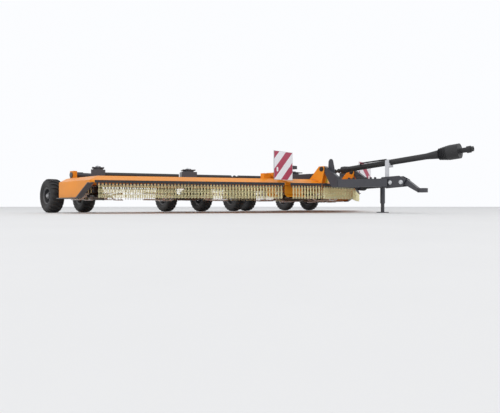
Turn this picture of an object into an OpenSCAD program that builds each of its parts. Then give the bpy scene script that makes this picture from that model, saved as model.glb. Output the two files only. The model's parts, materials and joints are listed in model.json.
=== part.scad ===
// Trailed flex-wing rotary cutter: a centre section and two swept wings, five rotors under a
// formed deck, chain curtains, walking-beam wheels on lifting axles and a hinged A-frame drawbar.
// Millimetres, +X right, +Y forward, +Z up, standing on the ground plane.

/* [Deck] */
// Half width of the straight middle of the front edge
nose_half = 480; // [440:5:520]
// Angle at which the front edges sweep back
sweep = 30; // [27:0.5:31]
// Height of the deck's underside above the ground
deck_z = 434; // [410:2:460]
// Thickness of the hollow-section deck
deck_t = 100; // [90:2:120]
// Thickness of the deck along its bevelled front edge and outer end
edge_t = 30; // [24:1:40]
// Width of the bevel along the front edge and outer end
bevel_run = 170; // [140:5:180]
// Depth of the raised channel along the front of the deck
channel_rise = 55; // [40:1:70]
// Width of the sloped wall under each side of the centre deck
wall_run = 110; // [90:1:130]
// Height of the wing hinge axis above the deck's underside
hinge_rise = 165; // [160:1:175]
// Gap from the hinge axis to the wing deck's inner face
seam_gap = 36; // [34:1:44]
// Distance from the centre blades' circle out to each hinge axis
hinge_gap = 70; // [60:1:90]
// Distance from the centre blades' circle to the front edge
front_gap = 80; // [76:1:110]
// Distance from the centre blades' circle to the centre deck's rear edge
centre_rear_gap = 570; // [550:5:600]
// Distance from the inner blades' circle to the wing deck's rear edge
inner_rear_gap = 60; // [55:1:80]
// Distance from the outer blades' circle to the rear edge behind it
outer_rear_gap = 75; // [65:1:90]
// Distance from the outer blades' circle to the wing's outer end
end_gap = 50; // [46:1:80]

/* [Rotors] */
// Radius swept by the blades of the three large rotors
big_blade_r = 890; // [860:1:900]
// Radius swept by the blades of the two outer rotors
small_blade_r = 455; // [430:1:470]
// Gap between the circles of the centre and inner blades
inner_gap = 103; // [95:1:120]
// Gap between the circles of the inner and outer blades
outer_gap = 77; // [70:1:90]
// Radius of the dished pan under a large rotor
big_pan_r = 283; // [260:1:300]
// Radius of the dished pan under an outer rotor
small_pan_r = 158; // [150:1:170]
// Height of the pan's rim above the ground
pan_z = 246; // [236:1:256]
// Depth of the pan's dish
pan_dish = 48; // [36:1:60]
// Thickness of a blade
blade_t = 12; // [8:1:13]
// Width of a blade's shank
blade_w = 74; // [60:1:90]
// Width of a blade's cutting end
blade_tip_w = 130; // [110:1:150]
// Height by which a blade's tip is bent up or down
blade_bend = 50; // [30:1:55]

/* [Chain curtains] */
// Distance between neighbouring chains
chain_pitch = 48; // [44:1:60]
// Width of a chain
chain_w = 20; // [14:1:24]
// Thickness of a chain
chain_t = 10; // [6:1:12]
// Height of the chains' lower ends above the ground
chain_z = 217; // [190:1:240]
// Height of the bar that the chains hang from
rail_h = 70; // [60:1:74]

/* [Wheels] */
// Tyre diameter over its lugs
tyre_d = 540; // [520:2:556]
// Tyre width
tyre_w = 216; // [200:2:230]
// Number of lugs along each shoulder of a tyre
lug_count = 22; // [18:1:26]
// Height of a lug
lug_h = 16; // [12:1:20]
// Rim diameter
rim_d = 256; // [240:2:270]
// Diameter of the stub axles
stub_d = 40; // [34:1:44]
// Distance of the centre walking beams inside the hinge axis
centre_beam_in = 180; // [170:1:190]
// Distance of the centre walking beams behind the centre deck
centre_beam_back = 710; // [690:5:740]
// Distance of a wing's walking beam outside its outer rotor
wing_beam_out = 100; // [90:1:110]
// Distance of a wing's walking beam behind the wing deck
wing_beam_back = 310; // [300:5:340]
// Sideways distance of each wheel from its beam
wheel_side = 330; // [325:1:345]
// Fore and aft distance of each wheel from its beam's middle
wheel_fore = 140; // [120:1:150]

/* [Drawbar] */
// Half distance between the drawbar's rear pivots
draw_half = 430; // [420:1:440]
// Height of the drawbar's rear pivots above the ground
draw_z = 684; // [674:1:700]
// Height of the drawbar's head above the ground
head_z = 455; // [440:1:470]
// Distance of the drawbar's head bolts in front of the deck
head_y = 940; // [930:1:960]
// Distance of the hitch eye in front of the deck
eye_y = 1400; // [1380:5:1450]
// Height of the hitch eye above the ground
eye_z = 330; // [310:5:350]
// Diameter of the hitch eye's hole
eye_bore = 50; // [40:1:51]
// Distance of the drive shaft's front end in front of the deck
shaft_front = 2080; // [2050:5:2150]
// Height of the drive shaft's front end above the ground
shaft_front_z = 860; // [845:1:870]

/* [Warning boards] */
// Side of the square board
board_side = 423; // [400:1:430]

/* [Hidden] */
$fn = 64;

orange = [0.86, 0.45, 0.10];
charcoal = [0.22, 0.22, 0.25];
black = [0.06, 0.06, 0.07];
steel = [0.75, 0.75, 0.76];
grey = [0.46, 0.45, 0.43];
zinc = [0.85, 0.80, 0.58];
white = [0.92, 0.90, 0.90];

// Rotor places: the inner and outer rotors trail the one before them along the swept edge
inner_trim = 2.14;
outer_trim = 4.16;
centre_rotor_y = big_blade_r + front_gap;
centre_rotor = [0, -centre_rotor_y];
drive_turn = inner_trim - sweep;
drive_length = 2 * big_blade_r + inner_gap;
inner_rotor = centre_rotor + drive_length * [cos(drive_turn), sin(drive_turn)];
outer_turn = outer_trim - sweep;
outer_length = big_blade_r + small_blade_r + outer_gap;
outer_rotor = inner_rotor + outer_length * [cos(outer_turn), sin(outer_turn)];

// Deck outline
hinge_x = big_blade_r + hinge_gap;
centre_depth = centre_rotor_y + big_blade_r + centre_rear_gap;
wing_depth = big_blade_r + inner_rear_gap - inner_rotor[1];
bulge_y = small_blade_r + outer_rear_gap - outer_rotor[1];
wing_end = outer_rotor[0] + small_blade_r + end_gap;
bulge_in = outer_rotor[0] - 325;
bulge_out = outer_rotor[0] + 175;
bulge_cut = 180;
step_x = bulge_in - 300;
end_rear = 230 - outer_rotor[1];
cx = hinge_x - 8;
wx = hinge_x + seam_gap;
deck_top = deck_z + deck_t;
hinge_z = deck_z + hinge_rise;
ring_gap = 40;
pocket_side = 80;
dish_foot = 135;
dish_lip = 150;
dish_neck = 200;
dish_slope = 290;
dish_flat = 380;
small_dish_neck = 190;
small_dish_flat = 250;
rail_z = deck_z - 40;
plate_nose = 30;
plate_run = 330;
plate_t = 8;
nose_z = deck_z - 6;
skid_t = 12;
skid_w = 90;

function front_y(x) = x < nose_half ? 0 : -(x - nose_half) * tan(sweep);

end_front = front_y(wing_end);
hinge_spots = [front_y(hinge_x) - 363, 350 - centre_depth];
lug_r = 38;
pin_r = 15;
running_fit = 0.06;
seat_gap = 0.3;
bolt_hex = 6;

// Drive line and spindles
shaft_tube_r = 36;
shaft_core_r = 20;
joint_r = 36;
guard_r = 43;
guard_foot = 110;
guard_neck = 200;
bell_back = 170;
bell_run = 160;
bell_cone = 180;
yoke_bore = 35;
gear_h = 135;
centre_gear = 290;
inner_gear = 250;
outer_gear = 210;
hub_pin_r = 28;
hub_top = deck_z - 24;
cross_at = hinge_x / cos(drive_turn);
shaft_pitch = atan2(shaft_front_z - draw_z, shaft_front);
shaft_length = norm([shaft_front, shaft_front_z - draw_z]);
input_back = centre_rotor_y - centre_gear / 2;
input_pitch = atan2(draw_z - hinge_z, input_back);
input_length = norm([input_back, draw_z - hinge_z]);

// Axles and wheels
tyre_r = tyre_d / 2;
rim_r = rim_d / 2;
stub_r = stub_d / 2;
tube_r = 45;
tube_lift = 65;
bearing_w = 60;
arm_w = 90;
arm_knee = 170;
arm_foot = 60;
beam_h = 90;
beam_t = 80;
beam_past = 50;
beam_top = tyre_r + beam_h / 2;
centre_tube_y = 100 - centre_depth;
wing_tube_y = 110 - bulge_y;
centre_beam = [hinge_x - centre_beam_in, -centre_depth - centre_beam_back];
wing_beam = [outer_rotor[0] + wing_beam_out, -bulge_y - wing_beam_back];
centre_in = centre_beam + [-wheel_side, wheel_fore];
centre_out = centre_beam + [wheel_side, -wheel_fore];
wing_out = wing_beam + [wheel_side, wheel_fore];
wing_in = wing_beam + [-wheel_side, -wheel_fore];

// Drawbar
draw_pin_r = 20;
clevis_t = 14;
clevis_gap = 40;
kink_y = 235;
kink_z = head_z;
beam_w = 80;
draw_beam_h = 120;
head_half = 62;
head_t = 14;
bolt_gap = 170;
jack_x = 20 - draw_half;
jack_y = kink_y + 325;
jack_z = kink_z;

// Warning boards
board_y = front_y(hinge_x) + 71;
board_post = 60;
board_post_y = front_y(cx) - bevel_run / cos(sweep) - board_post - 10;
board_lift = 140;
board_arm_z = deck_top + board_lift;
board_reach = 300;

// Middle of the machine's length
rear_reach = tyre_r - wing_in[1];
origin_y = (rear_reach - shaft_front) / 2;

// Moves the machine so that the middle of its box stands on the origin
module placed() translate([0, origin_y, 0]) children();

// Right hand form as drawn, left hand form mirrored
module side(s) mirror([s < 0 ? 1 : 0, 0, 0]) children();

// Prism drawn in the side plane, x0 to x1 across
module side_plate(points, x0, x1)
  translate([x0, 0, 0]) rotate([90, 0, 90]) linear_extrude(x1 - x0) polygon(points);

// Round bar across the machine from x0 to x1 at y, z
module cross_bar(x0, x1, y, z, r)
  translate([x0, y, z]) rotate([0, 90, 0]) cylinder(h = x1 - x0, r = r);

// Round bar from p along the direction given by turn about Z and lift above level
module bar(p, turn, lift, length, r)
  translate(p) rotate([0, 0, turn]) rotate([0, 90 - lift, 0]) cylinder(h = length, r = r);

// Children drawn along the edge from p to q, with Y pointing out of the deck
module along(p, q)
  translate([p[0], p[1], 0]) rotate([0, 0, atan2(q[1] - p[1], q[0] - p[0])]) children();

// Wedge that bevels the deck's top along the edge from p to q
module edge_bevel(p, q) {
  slope = (deck_t - edge_t) / bevel_run;
  past = 200;
  over = 10;
  along(p, q) translate([-past, 0, deck_z]) rotate([90, 0, 90])
    linear_extrude(norm(q - p) + 2 * past)
      polygon([[over, edge_t - over * slope], [over, deck_t + over],
        [-bevel_run - over / slope, deck_t + over]]);
}

// Underside recess round one rotor, a trumpet shape about the spindle
module dish(p, r)
  translate([p[0], p[1], deck_z]) rotate_extrude($fn = 96)
    polygon([[dish_foot, -2], [dish_lip, 12], [dish_neck, 30], [dish_slope, 44], [dish_flat, 48],
      [r - 14, 48], [r, -2]]);

module small_dish(p, r)
  translate([p[0], p[1], deck_z]) rotate_extrude($fn = 96)
    polygon([[dish_foot, -2], [dish_lip, 20], [small_dish_neck, 40], [small_dish_flat, 52],
      [r - 12, 52], [r, -2]]);

// Flared wall of the channel round one blade circle
module ring_cone(p, r)
  translate([p[0], p[1], deck_z - 2])
    cylinder(h = channel_rise + 2, r1 = r, r2 = r + 45, $fn = 96);

module spindle_hole(p)
  translate([p[0], p[1], deck_z - 1]) cylinder(h = deck_t + 2, r = 100);

// Lugs of the fixed half of one hinge with the pin through them
module hinge_fixed(y) {
  for (d = [-75, 45]) {
    translate([hinge_x - 150, y + d, deck_top - 1]) cube([150, 30, hinge_z - deck_top + 1]);
    translate([hinge_x, y + d + 30, hinge_z]) rotate([90, 0, 0]) cylinder(h = 30, r = lug_r);
  }
  translate([hinge_x, y + 75, hinge_z]) rotate([90, 0, 0]) cylinder(h = 150, r = pin_r);
}

// Lug of the moving half of one hinge, bored for the pin
module hinge_moving(y)
  difference() {
    union() {
      translate([hinge_x, y + 38, hinge_z]) rotate([90, 0, 0]) cylinder(h = 76, r = lug_r);
      translate([hinge_x, y - 38, hinge_z - 20]) cube([seam_gap + 30, 76, 40]);
      translate([wx + 6, y - 38, deck_top - 1]) cube([150, 76, hinge_z - deck_top + 20]);
    }
    translate([hinge_x, y + 40, hinge_z]) rotate([90, 0, 0])
      cylinder(h = 80, r = pin_r + running_fit);
  }

// Sloped wall under the side of the centre deck
module side_wall()
  translate([cx, 1, deck_z]) rotate([90, 0, 0]) linear_extrude(centre_depth + 2)
    polygon([[-wall_run, -1], [1, -1], [1, channel_rise + 5], [0, channel_rise + 5]]);

module centre_deck()
  color(orange) {
    difference() {
      translate([0, 0, deck_z]) linear_extrude(deck_t)
        polygon([[-cx, -centre_depth], [cx, -centre_depth], [cx, front_y(cx)], [nose_half, 0],
          [-nose_half, 0], [-cx, front_y(cx)]]);
      edge_bevel([-nose_half, 0], [nose_half, 0]);
      difference() {
        translate([0, 0, deck_z - 1]) linear_extrude(channel_rise + 1)
          polygon([[wall_run + 10 - cx, front_y(cx - wall_run) - 60], [-nose_half, -60],
            [nose_half, -60], [cx - wall_run - 10, front_y(cx - wall_run) - 60],
            [cx - wall_run - 10, -centre_rotor_y], [wall_run + 10 - cx, -centre_rotor_y]]);
        ring_cone(centre_rotor, big_blade_r + ring_gap);
      }
      dish(centre_rotor, big_blade_r - 90);
      spindle_hole(centre_rotor);
      for (s = [1, -1])
        side(s) {
          edge_bevel([nose_half, 0], [cx, front_y(cx)]);
          side_wall();
          ring_cone(inner_rotor, big_blade_r + ring_gap - 20);
        }
    }
    for (s = [1, -1])
      side(s)
        for (y = hinge_spots)
          hinge_fixed(y);
  }

// Bent guard plate under the deck behind the front edge, from x outwards
module flap(x) {
  flap_w = 160;
  flap_back = 200;
  along([x, front_y(x)], [x + 1, front_y(x + 1)])
    translate([0, -flap_back, chain_z + 30]) cube([flap_w, 8, deck_z - chain_z - 30]);
}

// Guard flaps beside the front end of each hinge
module hinge_flaps()
  color(orange)
    for (s = [1, -1])
      side(s)
        flap(cx - wall_run - 160);

module wing_flap()
  color(orange)
    flap(hinge_x + 110);

// Deck rails, with a gap for the cross shafts, and the bearings of the lifting axle
module centre_frame()
  color(charcoal) {
    rail_w = 90;
    cross_y = draw_half * tan(drive_turn) - centre_rotor_y;
    cross_gap = 130;
    difference() {
      for (s = [1, -1])
        side(s)
          translate([draw_half - rail_w / 2, 0, deck_top]) {
            translate([0, cross_y + cross_gap, 0])
              cube([rail_w, -bevel_run - 70 - cross_y - cross_gap, rail_w]);
            translate([0, centre_tube_y, 0])
              cube([rail_w, cross_y - cross_gap - centre_tube_y, rail_w]);
            translate([(rail_w - bearing_w) / 2, centre_tube_y - tube_r - 20, 0])
              cube([bearing_w, 2 * tube_r + 40, tube_lift + tube_r + 20]);
          }
      cross_bar(-cx, cx, centre_tube_y, deck_top + tube_lift, tube_r + running_fit);
    }
  }

// Bar with a comb of hanging chains along the edge from p to q
module curtain(p, q) {
  length = norm(q - p);
  count = floor((length - 2 * chain_w) / chain_pitch);
  start = (length - count * chain_pitch) / 2;
  teeth = [for (i = [0:count]) each [
    [start + i * chain_pitch - chain_w / 2, rail_z],
    [start + i * chain_pitch - chain_w / 2, chain_z],
    [start + i * chain_pitch + chain_w / 2, chain_z],
    [start + i * chain_pitch + chain_w / 2, rail_z]]];
  outline = concat([[4, rail_z + rail_h], [4, rail_z]], teeth,
    [[length - 4, rail_z], [length - 4, rail_z + rail_h]]);
  along(p, q) translate([0, seat_gap, 0]) rotate([90, 0, 0]) mirror([0, 0, 1])
    linear_extrude(chain_t) polygon(outline);
}

module centre_chains()
  color(zinc) {
    curtain([-nose_half, 0], [nose_half, 0]);
    for (s = [1, -1])
      side(s) curtain([nose_half, 0], [cx - 20, front_y(cx - 20)]);
    curtain([cx - 60, -centre_depth], [60 - cx, -centre_depth]);
  }

module wing_chains()
  color(zinc) {
    curtain([wx + 14, front_y(wx + 14)], [wing_end - 56, front_y(wing_end - 56)]);
    curtain([bulge_out + bulge_cut, bulge_cut - bulge_y], [bulge_out, -bulge_y]);
    curtain([bulge_out, -bulge_y], [bulge_in, -bulge_y]);
    curtain([bulge_in, -bulge_y], [step_x, -wing_depth]);
    curtain([step_x, -wing_depth], [wx + 190, -wing_depth]);
  }

// Bearing of a wing's lifting axle, x0 to x0 + bearing_w
module wing_bearing(x0)
  difference() {
    translate([x0, wing_tube_y - tube_r - 20, deck_top - 1])
      cube([bearing_w, 2 * tube_r + 40, tube_lift + tube_r + 21]);
    cross_bar(x0 - 1, x0 + bearing_w + 1, wing_tube_y, deck_top + tube_lift, tube_r + running_fit);
  }

module wing_deck()
  color(orange) {
    difference() {
      translate([0, 0, deck_z]) linear_extrude(deck_t)
        polygon([[wx, front_y(wx)], [wing_end, front_y(wing_end)], [wing_end, -end_rear],
          [bulge_out + bulge_cut, bulge_cut - bulge_y], [bulge_out, -bulge_y],
          [bulge_in, -bulge_y], [step_x, -wing_depth], [wx + 180, -wing_depth],
          [wx, -centre_depth]]);
      edge_bevel([wx, front_y(wx)], [wing_end, front_y(wing_end)]);
      edge_bevel([wing_end, front_y(wing_end)], [wing_end, -end_rear]);
      difference() {
        translate([0, 0, deck_z - 1]) linear_extrude(channel_rise + 1)
          polygon([[wx + 25, front_y(wx) - 80], [wing_end - pocket_side, front_y(wing_end) - 80],
            [wing_end - pocket_side, outer_rotor[1]], outer_rotor, inner_rotor, [wx + 25, inner_rotor[1]]]);
        ring_cone(inner_rotor, big_blade_r + ring_gap);
        ring_cone(outer_rotor, small_blade_r + ring_gap);
      }
      dish(inner_rotor, big_blade_r - 90);
      small_dish(outer_rotor, small_blade_r - 45);
      spindle_hole(inner_rotor);
      spindle_hole(outer_rotor);
    }
    for (y = hinge_spots)
      hinge_moving(y);
    for (x0 = [wing_beam[0] - 330, wing_beam[0] + 75])
      wing_bearing(x0);
  }

module end_plate()
  color(orange)
    side_plate([[end_front, deck_z + edge_t], [end_front + plate_nose, nose_z],
      [end_front - plate_run, chain_z + skid_t], [-end_rear, chain_z + skid_t],
      [-end_rear, deck_z + edge_t]], wing_end, wing_end + plate_t);

module skid()
  color(charcoal)
    side_plate([[end_front + plate_nose, nose_z], [end_front - plate_run, chain_z + skid_t],
      [-end_rear, chain_z + skid_t], [-end_rear, chain_z], [end_front - plate_run + skid_t / 3, chain_z],
      [end_front + plate_nose + skid_t, nose_z - skid_t / 2]],
      wing_end - skid_w / 2, wing_end + skid_w / 2);

// Plain gear housing on the deck with its spindle through the hole and the pin for the rotor
module gear_housing(p, turn, size)
  translate([p[0], p[1], 0]) {
    rotate([0, 0, turn])
      translate([-size / 2, -size / 2, deck_top]) cube([size, size, gear_h]);
    translate([0, 0, deck_top]) cylinder(h = 24, r = size * 0.68);
    translate([0, 0, deck_top + gear_h - 5]) cylinder(h = 30, r = size * 0.36);
    translate([0, 0, hub_top + 8]) cylinder(h = deck_top - hub_top, r = 92);
    translate([0, 0, hub_top - 90]) cylinder(h = 110, r = hub_pin_r);
  }

module centre_gearbox()
  color(charcoal) gear_housing(centre_rotor, 0, centre_gear);

// Block of the centre gear housing, which the shafts butt against
module gear_block()
  translate([-centre_gear / 2, -centre_rotor_y - centre_gear / 2, deck_top])
    cube([centre_gear, centre_gear, gear_h]);

// Guarded half shaft on the fixed side of each hinge, up to the joint on the hinge axis
module centre_shafts()
  color(black) {
    for (s = [1, -1])
      side(s) {
        difference() {
          translate([0, -centre_rotor_y, hinge_z]) {
            bar([0, 0, 0], drive_turn, 0, cross_at - 60, shaft_tube_r);
            bar([0, 0, 0], drive_turn, 0, cross_at, shaft_core_r);
          }
          gear_block();
        }
        translate([hinge_x, -centre_rotor_y + cross_at * sin(drive_turn), hinge_z])
          sphere(r = joint_r, $fn = 32);
      }
    translate([0, 0, draw_z]) sphere(r = joint_r, $fn = 32);
    difference() {
      union() {
        bar([0, 0, draw_z], -90, -input_pitch, input_length + 40, shaft_core_r);
        bar([0, -60, draw_z - 60 * tan(input_pitch)], -90, -input_pitch, input_length - 20,
          shaft_tube_r);
      }
      gear_block();
    }
  }

module wing_gearboxes()
  color(charcoal) {
    gear_housing(inner_rotor, drive_turn, inner_gear);
    gear_housing(outer_rotor, outer_turn, outer_gear);
  }

// Half shaft from the hinge joint to the inner gear housing, and the shaft on to the outer one
module wing_shafts()
  color(black) {
    near = inner_gear / 2;
    far = drive_length - cross_at - near;
    out = 160;
    translate([inner_rotor[0], inner_rotor[1], hinge_z])
      rotate([0, 0, drive_turn + 180]) rotate([0, 90, 0]) translate([0, 0, near]) {
        cylinder(h = far - 60, r = shaft_tube_r);
        cylinder(h = far - 44, r = shaft_core_r);
      }
    bar([inner_rotor[0] + out * cos(outer_turn), inner_rotor[1] + out * sin(outer_turn), hinge_z],
      outer_turn, 0, outer_length - out - outer_gear / 2, shaft_tube_r);
  }

// Walking beam with a stub axle at each end; its forward stub points to the side given by f
module walking_beam(p, f) {
  half = wheel_fore + beam_past;
  side_plate([[p[1] - half, beam_top - beam_h], [p[1] - half, beam_top], [p[1] + half, beam_top],
    [p[1] + half, beam_top - beam_h]], p[0] - beam_t / 2, p[0] + beam_t / 2);
  for (e = [1, -1])
    translate([p[0], p[1] + e * wheel_fore, tyre_r]) rotate([0, e * f * 90, 0])
      cylinder(h = wheel_side + 72, r = stub_r);
}

// Trailing arm from the cross tube at y0 back and down to the walking beam p
module trailing_arm(p, y0) {
  z0 = deck_top + tube_lift;
  side_plate([[y0 + 25, z0 - 40], [y0 + 25, z0 + 50], [y0 - arm_knee, z0 + 50],
    [p[1] - arm_foot, beam_top + 75], [p[1] - arm_foot, beam_top], [p[1] + arm_foot, beam_top],
    [y0 - arm_knee, z0 - 48]], p[0] - arm_w / 2, p[0] + arm_w / 2);
}

// Cross tube that turns in its bearings, with both arms and their walking beams
module centre_axles()
  color(charcoal) {
    cross_bar(-centre_beam[0] - arm_w / 2, centre_beam[0] + arm_w / 2, centre_tube_y,
      deck_top + tube_lift, tube_r);
    for (s = [1, -1])
      side(s) {
        trailing_arm(centre_beam, centre_tube_y);
        walking_beam(centre_beam, -1);
      }
  }

module wing_axle()
  color(charcoal) {
    cross_bar(wing_beam[0] - 345, wing_beam[0] + 150, wing_tube_y, deck_top + tube_lift, tube_r);
    trailing_arm(wing_beam, wing_tube_y);
    walking_beam(wing_beam, 1);
  }

// Dished pan with hub, blade carrier and blade bolts
module rotor(p, r)
  translate([p[0], p[1], 0]) {
    bolt = r * 0.76;
    difference() {
      union() {
        rotate_extrude($fn = 96)
          polygon([[0, pan_z - pan_dish], [r * 0.42, pan_z - pan_dish],
            [r * 0.72, pan_z - pan_dish * 0.68], [r, pan_z - 8], [r, pan_z],
            [r * 0.7, pan_z - pan_dish * 0.68 + 9], [r * 0.41, pan_z - pan_dish + 9],
            [0, pan_z - pan_dish + 9]]);
        translate([0, 0, pan_z - pan_dish + 2]) cylinder(h = hub_top - pan_z + pan_dish - 2, r = 70);
        translate([0, 0, pan_z + 2 * blade_t]) cylinder(h = 16, r = r * 0.9);
        for (a = [0:90:270])
          rotate([0, 0, a]) translate([bolt, 0, pan_z - pan_dish * 0.9])
            cylinder(h = pan_dish * 0.9 + 2 * blade_t + 26, r = 17, $fn = bolt_hex);
      }
      translate([0, 0, hub_top - 96]) cylinder(h = 120, r = hub_pin_r + running_fit);
    }
  }

// One blade's edge view: flat to b, then bent by rise up to c and flat to the tip
function blade_line(a, b, c, tip, z, rise) =
  [[a, z], [b, z], [c, z + rise], [tip, z + rise], [tip, z + rise + blade_t],
    [c, z + rise + blade_t], [b, z + blade_t], [a, z + blade_t]];

// Pairs of blades, one bent down and one bent up, on four arms
module blades(p, tip, r)
  translate([p[0], p[1], 0]) {
    bolt = r * 0.76;
    a = bolt - 45;
    b = r + 0.12 * tip;
    c = b + 0.16 * tip;
    scale_w = tip / big_blade_r * 0.5 + 0.5;
    shank = blade_w * scale_w / 2;
    blunt = blade_tip_w * scale_w / 2;
    for (t = [0:90:270])
      rotate([0, 0, t])
        difference() {
          for (pair = [[pan_z, -blade_bend], [pan_z + blade_t, blade_bend - 14]])
            intersection() {
              rotate([90, 0, 0]) translate([0, 0, -blunt]) linear_extrude(2 * blunt)
                polygon(blade_line(a, b, c, tip, pair[0], pair[1]));
              translate([0, 0, pan_z - 2 * blade_bend]) linear_extrude(4 * blade_bend)
                polygon([[a, -shank], [c, -shank], [c + shank, -blunt], [tip - blunt, -blunt],
                  [tip, blunt], [c + shank, blunt], [c, shank], [a, shank]]);
            }
          translate([bolt, 0, pan_z - 1])
            cylinder(h = 2 * blade_t + 2, r = 17.5, $fn = bolt_hex);
        }
  }

module rotor_part(p, r) color(grey) rotor(p, r);
module blades_part(p, tip, r) color(steel) blades(p, tip, r);

// Tyre carcass with a ring of lugs along each shoulder, the two rings half a step apart
module tyre(p)
  color(black)
    translate([p[0], p[1], tyre_r]) rotate([0, 90, 0]) {
      tread_r = tyre_r - lug_h;
      step = 360 / lug_count;
      lug_w = 0.5 * tyre_r * PI / lug_count;
      lug_top = sqrt(tyre_r * tyre_r - lug_w * lug_w / 4);
      rotate_extrude($fn = 64)
        polygon([[rim_r, -tyre_w * 0.36], [tyre_r * 0.62, -tyre_w * 0.47],
          [tyre_r * 0.8, -tyre_w * 0.5], [tread_r - 8, -tyre_w * 0.43], [tread_r, -tyre_w * 0.3],
          [tread_r, tyre_w * 0.3], [tread_r - 8, tyre_w * 0.43], [tyre_r * 0.8, tyre_w * 0.5],
          [tyre_r * 0.62, tyre_w * 0.47], [rim_r, tyre_w * 0.36]]);
      for (e = [1, -1])
        for (i = [0:lug_count - 1])
          rotate([0, 0, (i + e / 4) * step])
            mirror([0, 0, e < 0 ? 1 : 0])
              rotate([0, -90, -90]) translate([0, 0, -lug_w / 2]) linear_extrude(lug_w)
                polygon([[-tyre_w * 0.04, tread_r - 4], [tyre_w * 0.42, tread_r - 20],
                  [tyre_w * 0.47, tyre_r * 0.88], [tyre_w * 0.36, lug_top - 4],
                  [tyre_w * 0.26, lug_top], [-tyre_w * 0.04, lug_top]]);
    }

module rim(p)
  color(charcoal)
    translate([p[0], p[1], tyre_r]) rotate([0, 90, 0])
      difference() {
        union() {
          rotate_extrude($fn = 96)
            polygon([[rim_r - 10, -tyre_w * 0.36], [rim_r, -tyre_w * 0.36], [rim_r, tyre_w * 0.36],
              [rim_r - 10, tyre_w * 0.36]]);
          translate([0, 0, -5]) cylinder(h = 10, r = rim_r - 5);
          translate([0, 0, -65]) cylinder(h = 130, r = 48);
        }
        translate([0, 0, -66]) cylinder(h = 132, r = stub_r + running_fit);
      }

// Clevis plates on the deck's front corners with the pins that the drawbar swings on
module drawbar_brackets()
  color(orange)
    for (s = [1, -1])
      side(s) {
        foot = deck_z + edge_t + seat_gap;
        for (x = [draw_half - clevis_gap - clevis_t, draw_half + clevis_gap])
          side_plate([[-bevel_run - 60, deck_top + seat_gap], [-bevel_run, deck_top + seat_gap],
            [0, foot], [45, draw_z - 40], [45, draw_z + 45], [-50, draw_z + 45]], x, x + clevis_t);
        cross_bar(draw_half - 60, draw_half + 60, 0, draw_z, draw_pin_r);
      }

// A-frame: two cranked arms from the pins, a cross beam, two deep beams to the head plates
module drawbar_frame()
  color(charcoal) {
    beam_run = [head_half + 15 - draw_half, head_y - 45 - kink_y];
    difference() {
      for (s = [1, -1])
        side(s) {
          side_plate([[-48, draw_z - 30], [-48, draw_z + 40], [30, draw_z + 48],
            [kink_y + 45, kink_z + draw_beam_h / 2 + 40], [kink_y + 45, kink_z - draw_beam_h / 2],
            [kink_y - 60, kink_z - draw_beam_h / 2], [40, draw_z - 50]],
            draw_half - 35, draw_half + 35);
          translate([draw_half, kink_y, kink_z - draw_beam_h / 2])
            rotate([0, 0, atan2(beam_run[1], beam_run[0])]) translate([0, -beam_w / 2, 0])
              cube([norm(beam_run), beam_w, draw_beam_h]);
          side_plate([[head_y - 140, head_z - 80], [head_y - 140, head_z + 85],
            [head_y + bolt_gap - 30, head_z + 95], [head_y + bolt_gap + 70, head_z + 40],
            [head_y + bolt_gap + 20, head_z - 60]], head_half, head_half + head_t);
        }
      for (s = [1, -1])
        side(s) cross_bar(draw_half - 60, draw_half + 60, 0, draw_z, draw_pin_r + running_fit);
      for (y = [head_y, head_y + bolt_gap])
        cross_bar(-head_half - 40, head_half + 40, y, head_z, 19);
    }
    translate([-draw_half, kink_y - 35, kink_z - draw_beam_h / 2]) cube([2 * draw_half, 80, 80]);
    cross_bar(jack_x - 52, jack_x + 150, jack_y, jack_z, pin_r);
  }

// Tongue bolted between the head plates, stepping down to the hitch eye
module hitch_tongue()
  color(charcoal)
    difference() {
      union() {
        side_plate([[head_y - 70, head_z - 40], [head_y - 70, head_z + 40],
          [head_y + bolt_gap + 70, head_z + 40], [eye_y - 50, eye_z + 30], [eye_y - 50, eye_z - 30],
          [head_y + bolt_gap + 40, head_z - 40]], -40, 40);
        translate([0, eye_y, eye_z - 30]) cylinder(h = 60, r = 70);
        for (y = [head_y, head_y + bolt_gap])
          translate([-head_half - 30, y, head_z]) rotate([0, 90, 0])
            cylinder(h = 2 * head_half + 60, r = 18, $fn = bolt_hex);
      }
      translate([0, eye_y, eye_z - 40]) cylinder(h = 80, r = eye_bore / 2);
    }

// Guarded shaft to the tractor: two tubes, ribbed bell guard and the bored yoke at the front end
module drive_shaft()
  color(black)
    translate([0, 0, draw_z]) rotate([shaft_pitch, 0, 0]) rotate([-90, 0, 0])
      difference() {
        bell = shaft_length - bell_back;
        ribs = 5;
        rib_step = 24;
        rib_start = bell - bell_run - ribs * rib_step;
        rotate_extrude()
          polygon(concat([[0, 62], [58, 62], [58, guard_foot], [guard_r, guard_neck],
            [guard_r, rib_start - bell_cone],
            [62, rib_start]],
            [for (i = [0:ribs - 1]) each [[66 + 6 * i, rib_start + i * rib_step],
              [82 + 4 * i, rib_start + (i + 0.35) * rib_step],
              [66 + 6 * i, rib_start + (i + 0.7) * rib_step]]],
            [[98, bell - bell_run], [102, bell - bell_run + 20], [102, bell], [60, bell], [34, bell + 10],
              [34, shaft_length - 80], [46, shaft_length - 80], [46, shaft_length - 30],
              [34, shaft_length - 30], [34, shaft_length], [0, shaft_length]]));
        translate([0, 0, shaft_length - 90]) cylinder(h = 100, r = yoke_bore / 2);
      }

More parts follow.
